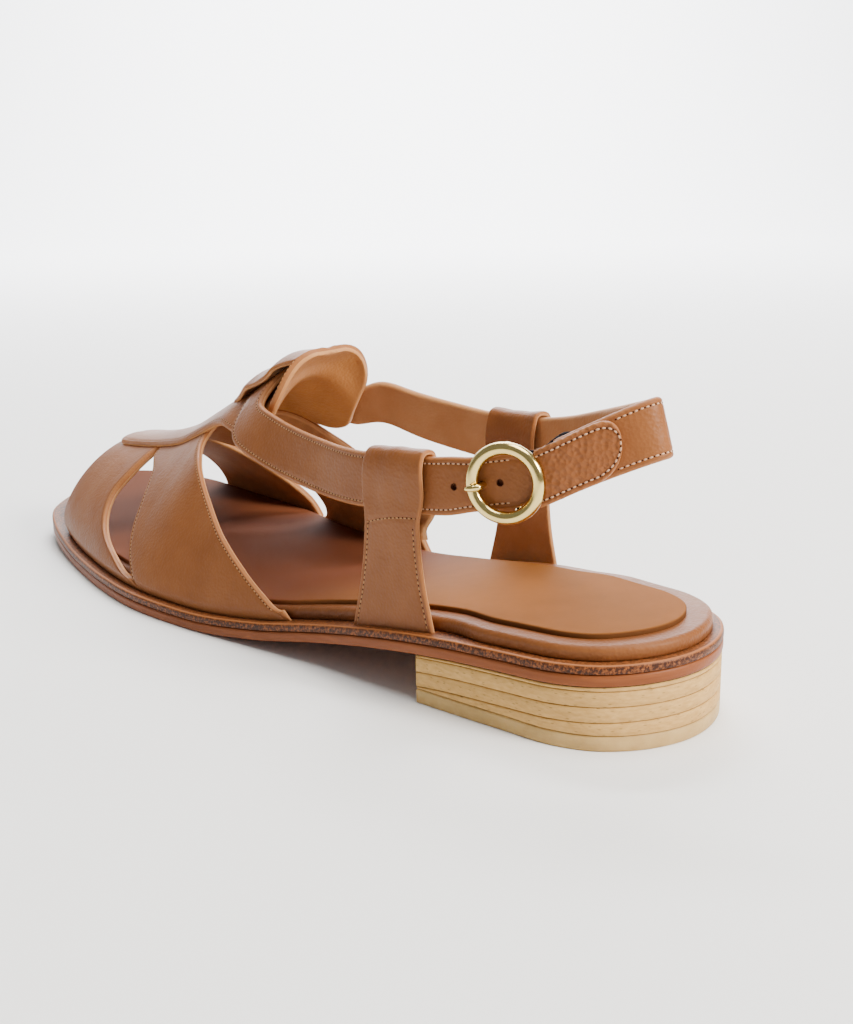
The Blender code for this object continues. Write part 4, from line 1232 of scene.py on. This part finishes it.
def punch(thing, frame_of_hole, radius, depth):
    """Sinks a round hole with a dark lining and leaves the piece a plain mesh."""
    bpy.ops.mesh.primitive_cylinder_add(vertices=32, radius=radius, depth=depth)
    punch_tool = bpy.context.object
    punch_tool.data.materials.append(hole_lining)
    punch_tool.matrix_world = frame_of_hole
    cut = thing.modifiers.new("hole", "BOOLEAN")
    cut.operation = "DIFFERENCE"
    cut.solver = "EXACT"
    cut.material_mode = "TRANSFER"
    cut.object = punch_tool
    bpy.context.view_layer.update()
    graph = bpy.context.evaluated_depsgraph_get()
    mesh = bpy.data.meshes.new_from_object(thing.evaluated_get(graph))
    thing.modifiers.remove(cut)
    thing.data = mesh
    bpy.data.objects.remove(punch_tool, do_unlink=True)


SHIFT = Matrix.Translation((CENTRE_SHIFT, 0.0, 0.0))
HOLE_RADIUS = 0.0008
HOLE_DEPTH = 0.0014
# Places along the strap from the ring's middle, forward of it below zero
TIP_HOLE = -0.0017
PRONG_AT = -0.0058
SPARE_HOLE_FROM_TIP = 0.0194
lift = Matrix.Translation((0.0, 0.0, ANKLE_THICKNESS / 2))
HOLES = [SHIFT @ buckle_frame @ Matrix.Translation((at, 0.0, 0.0)) @ lift for at in (TIP_HOLE, PRONG_AT)]
middle, half, out = read_rows(strap_rows, SPARE_HOLE_FROM_TIP)
spare_frame = frame_from(half.cross(out).normalized(), half.normalized(), out, middle)
HOLES.append(SHIFT @ spare_frame @ lift)
for hole_frame in HOLES:
    punch(ankle_strap, hole_frame, HOLE_RADIUS, 2 * HOLE_DEPTH)
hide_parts("ankle_strap")
# Shares of the strap's rows: tip to outer stay, over the instep, inner stay to the tab
ANKLE_SEAMS = (
    # name, start, stop, thread
    ("ankle_tip_thread", 0.02, 0.13, beige_thread),
    ("ankle_front_thread", 0.13, 0.60, tan_thread),
    ("ankle_rear_thread", 0.60, 0.955, beige_thread),
)
for name, start, stop, thread in ANKLE_SEAMS:
    stitch(name, both_edges(ankle_face, start, stop), thread)


# BRIDGE
# The bridge is the part of the centre strip between its two slits. It stands up over the
# ankle strap and holds it down on the instep.
BRIDGE_HALF_WIDTH = 0.0080
BRIDGE_THICKNESS = 0.0013
BRIDGE_SLACK = 0.0008
BRIDGE_SUNK = 0.0008
BRIDGE_FRONT_FRINGE = 0.0115
BRIDGE_REAR_FRINGE = 0.0064


def bridge_grid():
    crest = [row for row in ANKLE_PATH if row[1] == 0.0 and row[0] > BRIDGE_REACH_FROM][0]
    centre = y_of(crest[0])
    half = ANKLE_WIDTH * abs(crest[4]) / 2 + BRIDGE_SLACK
    low = STRIP_RISE + BRIDGE_THICKNESS - BRIDGE_SUNK
    high = STRIP_RISE + 3 * GAP + ANKLE_THICKNESS + BRIDGE_SLACK + BRIDGE_THICKNESS
    front = centre - half - BRIDGE_FRONT_FRINGE
    rows = []
    for k in range(61):
        y = front + (2 * half + BRIDGE_FRONT_FRINGE + BRIDGE_REAR_FRINGE) * k / 60
        fringe = BRIDGE_FRONT_FRINGE if y < centre else BRIDGE_REAR_FRINGE
        rise = low + (high - low) * (1 - ease(half, half + fringe, abs(y - centre)))
        rows.append([
            above_last(across - BRIDGE_HALF_WIDTH, y, rise)
            for across in stations(2 * BRIDGE_HALF_WIDTH, 10)
        ])
    return np.array(rows)


def bridge_relief(face):
    return 0.00004 * np.sin(face["first"] / 1.6 + np.sin(face["front"] / 3.0))


bridge_face = face_of(bridge_grid(), BRIDGE_THICKNESS, (0, 0, 1), relief=bridge_relief)
bridge = sheet_piece("bridge_leather", bridge_face, [calf, lining], cut_edge)
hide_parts("upper")


# RING BUCKLE AND PRONG
# The buckle is a polished pale brass ring with a thin bar across its back. The prong is
# hooked round the bar, goes up through the strap's hole and rests on the ring's rim.
BAR_WIRE = 0.0008
PRONG_WIRE = 0.0007


def bar_depth():
    """Depth of the buckle's bar below the strap's mid line, clear of the prong between."""
    return ANKLE_THICKNESS / 2 + 2 * GAP + 2 * PRONG_WIRE + BAR_WIRE


def rod(name, places, radii, lift, closed=False, sides=20):
    """Round rod along places, its radius given at each of them."""
    spots = [Vector(place) for place in places]
    count = len(spots)
    rings = []
    lift = Vector(lift)
    for i, spot in enumerate(spots):
        if closed:
            ahead = spots[(i + 1) % count] - spots[i - 1]
        else:
            ahead = spots[min(i + 1, count - 1)] - spots[max(i - 1, 0)]
        ahead.normalize()
        lift = (lift - ahead * lift.dot(ahead)).normalized()
        side = ahead.cross(lift)
        ring = []
        for k in range(sides):
            turn = 2 * math.pi * k / sides
            ring.append(spot + (lift * math.cos(turn) + side * math.sin(turn)) * radii[i])
        rings.append(ring)
    vertices = [tuple(buckle_frame @ point) for ring in rings for point in ring]
    faces = []
    for i in range(count if closed else count - 1):
        for k in range(sides):
            low = (i * sides + k, i * sides + (k + 1) % sides)
            high = [(index + sides) % len(vertices) for index in low]
            faces.append([*low, high[1], high[0]])
    if not closed:
        faces.append(list(range(sides))[::-1])
        faces.append([(count - 1) * sides + k for k in range(sides)])
    return new_piece(name, vertices, faces, [brass], sharp=60)


def through(places, values, at):
    """Smooth curve through values at places, read at other places, along the first axis."""
    slope = np.gradient(values, places, axis=0)
    i = np.clip(np.searchsorted(places, at, side="right") - 1, 0, len(places) - 2)
    span = (places[i + 1] - places[i]).astype(float)
    f = (at - places[i]) / span
    shape = (-1,) + (1,) * (values.ndim - 1)
    f, span = f.reshape(shape), span.reshape(shape)
    rise = values[i + 1] - values[i]
    curve = values[i] + rise * f * f * (3 - 2 * f)
    return curve + span * slope[i] * f * (1 - f) ** 2 - span * slope[i + 1] * f * f * (1 - f)


def curve_through(places, radii, steps):
    """Smooth run of places and radii through a short list of them."""
    values = np.array([(*place, radius) for place, radius in zip(places, radii)])
    at = np.linspace(0, len(values) - 1, steps)
    fine = through(np.arange(len(values)), values, at)
    return fine[:, :3].tolist(), fine[:, 3].tolist()


# Polished pale brass with very fine wear that breaks up its highlights
brass, tree, shader, place = finish_for("polished pale brass", 0.16, 0.5)
shader.inputs["Base Color"].default_value = linear("#dcc37c")
shader.inputs["Metallic"].default_value = 1.0
wear = noise(tree, place, 500.0, 4.0)
gloss = add_node(tree, "ShaderNodeMapRange", {"Value": wear, "To Min": 0.10, "To Max": 0.24})
tree.links.new(gloss.outputs[0], shader.inputs["Roughness"])

ring_level = ANKLE_THICKNESS / 2 + GAP + RING_WIRE
RING_STEPS = 96
ring_places = []
for k in range(RING_STEPS):
    turn = 2 * math.pi * k / RING_STEPS
    ring_places.append((RING_RADIUS * math.cos(turn), RING_RADIUS * math.sin(turn), ring_level))
ring = rod("brass_ring", ring_places, [RING_WIRE] * RING_STEPS, (0.0, 0.0, 1.0), closed=True, sides=24)
deep = -bar_depth()
bar_places = [
    (0.0, RING_RADIUS, ring_level), (0.0, RING_RADIUS, deep + 3 * BAR_WIRE),
    (0.0, RING_RADIUS - BAR_WIRE, deep + BAR_WIRE / 2), (0.0, RING_RADIUS - 3 * BAR_WIRE, deep),
]
bar_places += [(x, -y, z) for x, y, z in reversed(bar_places)]
bar = rod("brass_bar", *curve_through(bar_places, [BAR_WIRE] * len(bar_places), 60), (1.0, 0.0, 0.0))
hook = BAR_WIRE + GAP + PRONG_WIRE
over = RING_WIRE + GAP + PRONG_WIRE
prong_places = []
for k in range(7):
    turn = math.radians(-120 + 35 * k)
    prong_places.append((hook * math.cos(turn), 0.0, deep + hook * math.sin(turn)))
prong_places += [
    (PRONG_AT + 1.6 * RING_WIRE, 0.0, deep + hook),
    (PRONG_AT + 0.3 * RING_WIRE, 0.0, -0.25 * ANKLE_THICKNESS),
    (PRONG_AT + 0.3 * RING_WIRE, 0.0, 0.55 * ANKLE_THICKNESS),
    (-RING_RADIUS + 0.90 * over, 0.0, ring_level + 0.62 * over),
    (-RING_RADIUS + 0.50 * over, 0.0, ring_level + 0.94 * over),
    (-RING_RADIUS + 0.10 * over, 0.0, ring_level + 1.02 * over),
    (-RING_RADIUS - 0.28 * over, 0.0, ring_level + 0.92 * over),
]
prong_radii = [PRONG_WIRE] * (len(prong_places) - 1) + [0.7 * PRONG_WIRE]
prong = rod("brass_prong", *curve_through(prong_places, prong_radii, 90), (0.0, 1.0, 0.0))
for thing, node in ((ring, "ring_buckle"), (bar, "ring_buckle"), (prong, "prong")):
    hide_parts(node)


# BUCKLE TAB
# The tab is a round ended piece of wrinkled calf on the rear end of the strap. It covers the
# elastic's stitching and is sewn all round.
TAB_LENGTH = 0.0150
TAB_THICKNESS = 0.0015
TAB_ROUND = 0.45 * ANKLE_WIDTH
# How far the tab's straight end goes on past the strap, under the ring
TAB_REACH = 0.0042
pebbled = leather("pebbled tan calf", "#7c4a28", "#8a5431", "#a56b3f", 0.40, 900.0, 0.00040, 0.9)


def tab_rows():
    """Mid point, half width vector and outward vector from the tab's round end forward."""
    total = strap_rows[-1][2]
    lift = ANKLE_THICKNESS / 2 + GAP + TAB_THICKNESS / 2
    rows = []
    onward = (read_rows(strap_rows, total)[0] - read_rows(strap_rows, total - 0.003)[0]).normalized()
    for at in stations(TAB_LENGTH + TAB_REACH, 28):
        middle, half, out = read_rows(strap_rows, total - TAB_LENGTH + min(max(at, 0.00004), TAB_LENGTH))
        past = max(at - TAB_LENGTH, 0.0)
        middle = middle + onward * past - out * 0.25 * past
        wide = 0.97 * (1 - max(1 - max(at, 0.00004) / TAB_ROUND, 0.0) ** 2.2) ** (1 / 2.2)
        rows.append((middle + out * lift, half * wide, out))
    return rows


def tab_relief(face):
    wrinkles = 0.00006 * np.sin(face["first"] / 0.9 + 1.4 * np.sin(face["front"] / 2.1))
    return wrinkles + trough(face["edge"], STITCH_INSET, 0.4, 0.00014)


tab_line = tab_rows()
tab_points = np.array([band_row(middle, half, 2 * half.length, 8) for middle, half, out in tab_line])
tab_out = tab_line[len(tab_line) // 2][2]
tab_face = face_of(tab_points, TAB_THICKNESS, tab_out, middle=True, relief=tab_relief)
tab = sheet_piece("buckle_tab_leather", tab_face, [pebbled, lining], cut_edge)
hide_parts("buckle_tab")


def tab_seam():
    """Line round the tab, inside its long sides and its round end."""
    sides = []
    for direction in (-1, 1):
        line = []
        for middle, half, out in tab_line:
            reach = half.length - STITCH_INSET / 1000
            if reach > 0.0004:
                spot = middle + half.normalized() * reach * direction + out * TAB_THICKNESS / 2
                line.append((np.array(spot), np.array(out)))
        sides.append(line)
    return sides[0][::-1] + sides[1]


stitch("buckle_tab_thread", [tab_seam()], beige_thread)


# BUCKLE ELASTIC
# A short black woven elastic is sewn behind the strap's rear end, folds round the buckle's
# bar and lets the buckle give a little. Only its edges show beside the ring.
ELASTIC_THICKNESS = 0.0010
ELASTIC_WIDTH = 0.0134
ELASTIC_FOLD_WIDTH = 0.0104
ELASTIC_TUCK = 0.0110

# Woven elastic: matt black with fine ribs across its width
elastic_finish, tree, shader, place = finish_for("black woven elastic", 0.85)
ribs = add_node(
    tree, "ShaderNodeTexWave", {"Vector": place, "Scale": 420.0, "Distortion": 0.6}, bands_direction="Z"
)
dye(tree, shader, "#1b1a1c", ribs.outputs["Fac"], 0.6, 0.00015)


def elastic_grid():
    total = strap_rows[-1][2]
    depth = ANKLE_THICKNESS / 2 + 2 * GAP + ELASTIC_THICKNESS / 2
    line = []
    for f in (1.0, 0.75, 0.5, 0.25, 0.05):
        middle, half, out = read_rows(strap_rows, total - ELASTIC_TUCK * f)
        line.append((middle - out * depth, half * (0.84 if f > 0.3 else ELASTIC_WIDTH / ANKLE_WIDTH)))
    fold = BAR_WIRE + GAP + ELASTIC_THICKNESS / 2
    loop = [(3.6 * fold, deep + 0.5 * fold), (1.5 * fold, deep + 0.9 * fold)]
    for k in range(7):
        turn = math.radians(90 + 30 * k)
        loop.append((fold * math.cos(turn), deep + fold * math.sin(turn)))
    loop += [(1.6 * fold, deep - fold), (3.0 * fold, deep - 0.9 * fold)]
    down = (buckle_frame.to_3x3() @ Vector((0.0, -1.0, 0.0))) * ELASTIC_FOLD_WIDTH / 2
    line += [(buckle_frame @ Vector((x, 0.0, z)), down) for x, z in loop]
    values = np.array([(*middle, *half) for middle, half in line])
    fine = through(np.arange(len(values)), values, np.linspace(0, len(values) - 1, 80))
    bands = [(Vector(row[:3]), Vector(row[3:])) for row in fine]
    return np.array([band_row(middle, half, 2 * half.length, 6) for middle, half in bands])


elastic_face = face_of(elastic_grid(), ELASTIC_THICKNESS, (1, 0, 0), middle=True)
elastic = sheet_piece("buckle_elastic_weave", elastic_face, [elastic_finish])
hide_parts("buckle_elastic")


# SIDE STAYS
# Each side stay is a strip of calf that rises from the welt beside the footbed, goes up over
# the ankle strap as a loop and comes down inside to a sewn seam. Thread runs along both
# edges below the seam and in one row across it. The loop is left plain and softly wrinkled.
STAY_THICKNESS = 0.0012
LATERAL_STAY_BASE = 0.0252
MEDIAL_STAY_BASE = 0.0260
LOOP_WIDTH = 0.0185
STAY_WAIST = 0.0172
LOOP_SLACK = 0.0004
SEAM_LENGTH = 0.0020
# Distance of the seam across the stay below its waist, in millimetres
SEAM_DROP = 0.6
# How flat the loop's top is, and how fast the stay widens towards the welt
LOOP_FLATNESS = 0.62
FOOT_FLARE = 2.2
# Points in a stay's column from the welt up to its waist
BASE_ROWS = 6


def stay_columns(side, centre_share, base_share, base_width):
    """Mid surface of a stay, column by column across it, from the welt over the loop."""
    on_side = [row for row in strap_rows if row[0].x * side > 0.5 * STAY_SPREAD]
    nearest = min(on_side, key=lambda row: abs(row[0].y - y_of(centre_share)))
    reach = ANKLE_THICKNESS / 2 + LOOP_SLACK + STAY_THICKNESS / 2
    top = ANKLE_WIDTH / 2 - GAP
    seam = -ANKLE_WIDTH / 2 - LOOP_SLACK - GAP
    flap = 2.5 * STAY_THICKNESS
    columns = []
    for step in range(-3, 4):
        across = step / 6
        y = y_of(base_share) + across * base_width
        x = abs(side_x(share_of(y), side)) - WELT_LEDGE - STAY_THICKNESS / 2
        base = Vector((side * x, y, welt_top(y) + 1.4 * GAP))

        def beside(outward, height, width):
            middle, half, out = read_rows(strap_rows, nearest[2] - side * across * width)
            return middle + out * outward - half.normalized() * height

        waist = beside(reach, seam, STAY_WAIST)
        low = waist.lerp(base, 0.5)
        inward = (low - waist).normalized().cross(Vector((0.0, side, 0.0)))
        if inward.x * side > 0:
            inward = -inward
        column = []
        for f in (0.0, 0.15, 0.35, 0.6, 0.8):
            width = STAY_WAIST + (base_width - STAY_WAIST) * (1 - f) ** FOOT_FLARE
            straight = base.lerp(waist, f)
            straight.y = y_of(base_share) * (1 - f) + nearest[0].y * f + across * width
            column.append(straight)
        column[0].z -= BURIED
        column.append(waist)
        column.append(beside(reach, seam + flap, LOOP_WIDTH))
        column.append(beside(reach, top, LOOP_WIDTH))
        for k in range(1, 7):
            turn = math.pi * k / 6
            up = LOOP_FLATNESS * reach * math.sin(turn)
            column.append(beside(reach * math.cos(turn), top + up, LOOP_WIDTH))
        column.append(beside(-reach, seam + LOOP_SLACK, LOOP_WIDTH))
        for depth in (flap, flap + SEAM_LENGTH):
            column.append(waist + (low - waist).normalized() * depth + inward * (STAY_THICKNESS + GAP))
        columns.append(column)
    return np.array(columns).transpose(1, 0, 2)


STAYS = (
    # name, side, middle at the strap, middle at the welt, width at the welt
    ("lateral", 1, 0.241, 0.247, LATERAL_STAY_BASE),
    ("medial", -1, 0.291, 0.298, MEDIAL_STAY_BASE),
)
for label, side, centre_share, base_share, base_width in STAYS:
    coarse = stay_columns(side, centre_share, base_share, base_width)
    middle_column = coarse[:, coarse.shape[1] // 2]
    steps = np.linalg.norm(np.diff(middle_column, axis=0), axis=1)
    travelled = np.concatenate(([0.0], np.cumsum(steps)))
    fine = through(travelled, coarse, stations(travelled[-1], 90))
    spots = stations(base_width, 16) / base_width * (coarse.shape[1] - 1)
    fine = through(np.arange(coarse.shape[1]), fine.transpose(1, 0, 2), spots).transpose(1, 0, 2)
    waist_at = travelled[BASE_ROWS - 1] * 1000
    loop_end = travelled[-4] * 1000

    def stay_relief(face, waist_at=waist_at, loop_end=loop_end):
        """Edge troughs under the thread below the seam, and soft wrinkles in the loop."""
        below = near(face["first"], waist_at, 0.8)
        in_loop = (1 - near(face["first"], waist_at + 2.0, 1.5)) * near(face["first"], loop_end, 2.0)
        wrinkles = 0.00006 * np.sin(face["front"] * 0.9 + 0.7 * np.sin(face["first"] / 4.0))
        across = trough(face["first"], waist_at - SEAM_DROP, 0.5, 0.00020)
        return trough(face["sides"], STITCH_INSET, 0.4, 0.00014) * below + wrinkles * in_loop + across

    stay_face = face_of(fine, STAY_THICKNESS, (side, 0, 0), middle=True, relief=stay_relief)
    stay = sheet_piece(f"stay_{label}_leather", stay_face, [calf, lining], cut_edge)
    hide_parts(f"stay_{label}")
    seam_row = int(np.argmin(np.abs(stay_face["first"][:, 5] - waist_at))) - 1
    seams = both_edges(stay_face, 0.06, seam_row / (len(stay_face["first"]) - 1))
    across = seam_line(stay_face, "first", inset=waist_at - SEAM_DROP, start=0.16, stop=0.84)
    stitch(f"stay_{label}_thread", seams + [across])


# FLOOR AND LIGHT
# The shoe stands on a pale grey studio floor that curves up behind it. One wide soft light
# hangs overhead, the key stands behind the heel, and a third washes the backdrop.
floor_finish = even_finish("pale grey paper sweep", "#f1f0ed", 0.9)
SWEEP_WIDTH = 18.0
SWEEP_DEPTH = 2.4
SWEEP_RADIUS = 0.8
SWEEP_NEAR_END = -8.0
SWEEP_TOP = 3.0
# From the shoe back to the camera
VIEW_BACK = Vector((0.64575, 0.71742, 0.26135))
VIEW_PLAN = Vector((-VIEW_BACK.x, -VIEW_BACK.y, 0.0)).normalized()
beside_view = VIEW_PLAN.cross(Vector((0.0, 0.0, 1.0)))
profile = [(SWEEP_NEAR_END, 0.0), (SWEEP_DEPTH - SWEEP_RADIUS, 0.0)]
for k in range(1, 17):
    turn = math.pi / 2 * k / 16
    away = SWEEP_DEPTH - SWEEP_RADIUS + SWEEP_RADIUS * math.sin(turn)
    profile.append((away, SWEEP_RADIUS * (1 - math.cos(turn))))
profile.append((SWEEP_DEPTH, SWEEP_TOP))
vertices = []
for away, up in profile:
    for direction in (-1, 1):
        spot = VIEW_PLAN * away + beside_view * direction * SWEEP_WIDTH / 2
        vertices.append((spot.x, spot.y, up))
faces = [[2 * k, 2 * k + 2, 2 * k + 3, 2 * k + 1] for k in range(len(profile) - 1)]
mesh = bpy.data.meshes.new("studio_sweep")
mesh.from_pydata(vertices, [], faces)
mesh.materials.append(floor_finish)
smooth(mesh)
sweep = placed("studio_sweep", mesh)

LIGHTS = (
    # name, place, aim, size, watts, colour
    ("overhead", (-0.10, 0.25, 1.10), (0.0, 0.05, 0.0), 0.8, 17.0, "#fffdfa"),
    ("heel_side_key", (-0.35, 1.20, 0.75), (0.0, 0.05, 0.03), 0.5, 34.0, "#fffaf2"),
    ("backdrop_wash", (-0.95, -1.05, 1.60), (-1.5, -1.7, 0.5), 1.4, 195.0, "#f6f8ff"),
)
for name, spot, aim, across, watts, colour in LIGHTS:
    lamp = bpy.data.lights.new(name, "AREA")
    lamp.shape = "DISK"
    lamp.size = across
    lamp.energy = watts
    lamp.color = linear(colour)[:3]
    holder = placed(name, lamp)
    holder.location = spot
    holder.rotation_euler = (Vector(aim) - Vector(spot)).to_track_quat("-Z", "Y").to_euler()
world = bpy.data.worlds.new("soft studio")
world.use_nodes = True
world.node_tree.nodes["Background"].inputs["Color"].default_value = linear("#eef1f5")
world.node_tree.nodes["Background"].inputs["Strength"].default_value = 0.33
bpy.context.scene.world = world


# CAMERA
# The camera stands behind the heel on the outer side, a little above the shoe, as in the
# photo.
FOCAL_LENGTH_MM = 44.85
SENSOR_WIDTH_MM = 36.0
CAMERA_PLACE = (0.20317, 0.27295, 0.11542)
VIEW_RIGHT = Vector((-0.73997, 0.67242, -0.01752))
VIEW_UP = Vector((-0.18830, -0.18208, 0.96509))
lens = bpy.data.cameras.new("photo_view")
lens.lens = FOCAL_LENGTH_MM
lens.sensor_width = SENSOR_WIDTH_MM
lens.sensor_fit = "AUTO"
lens.clip_start = 0.01
camera = placed("photo_view", lens)
camera.matrix_world = frame_from(VIEW_RIGHT, VIEW_UP, VIEW_BACK, CAMERA_PLACE)
bpy.context.scene.camera = camera
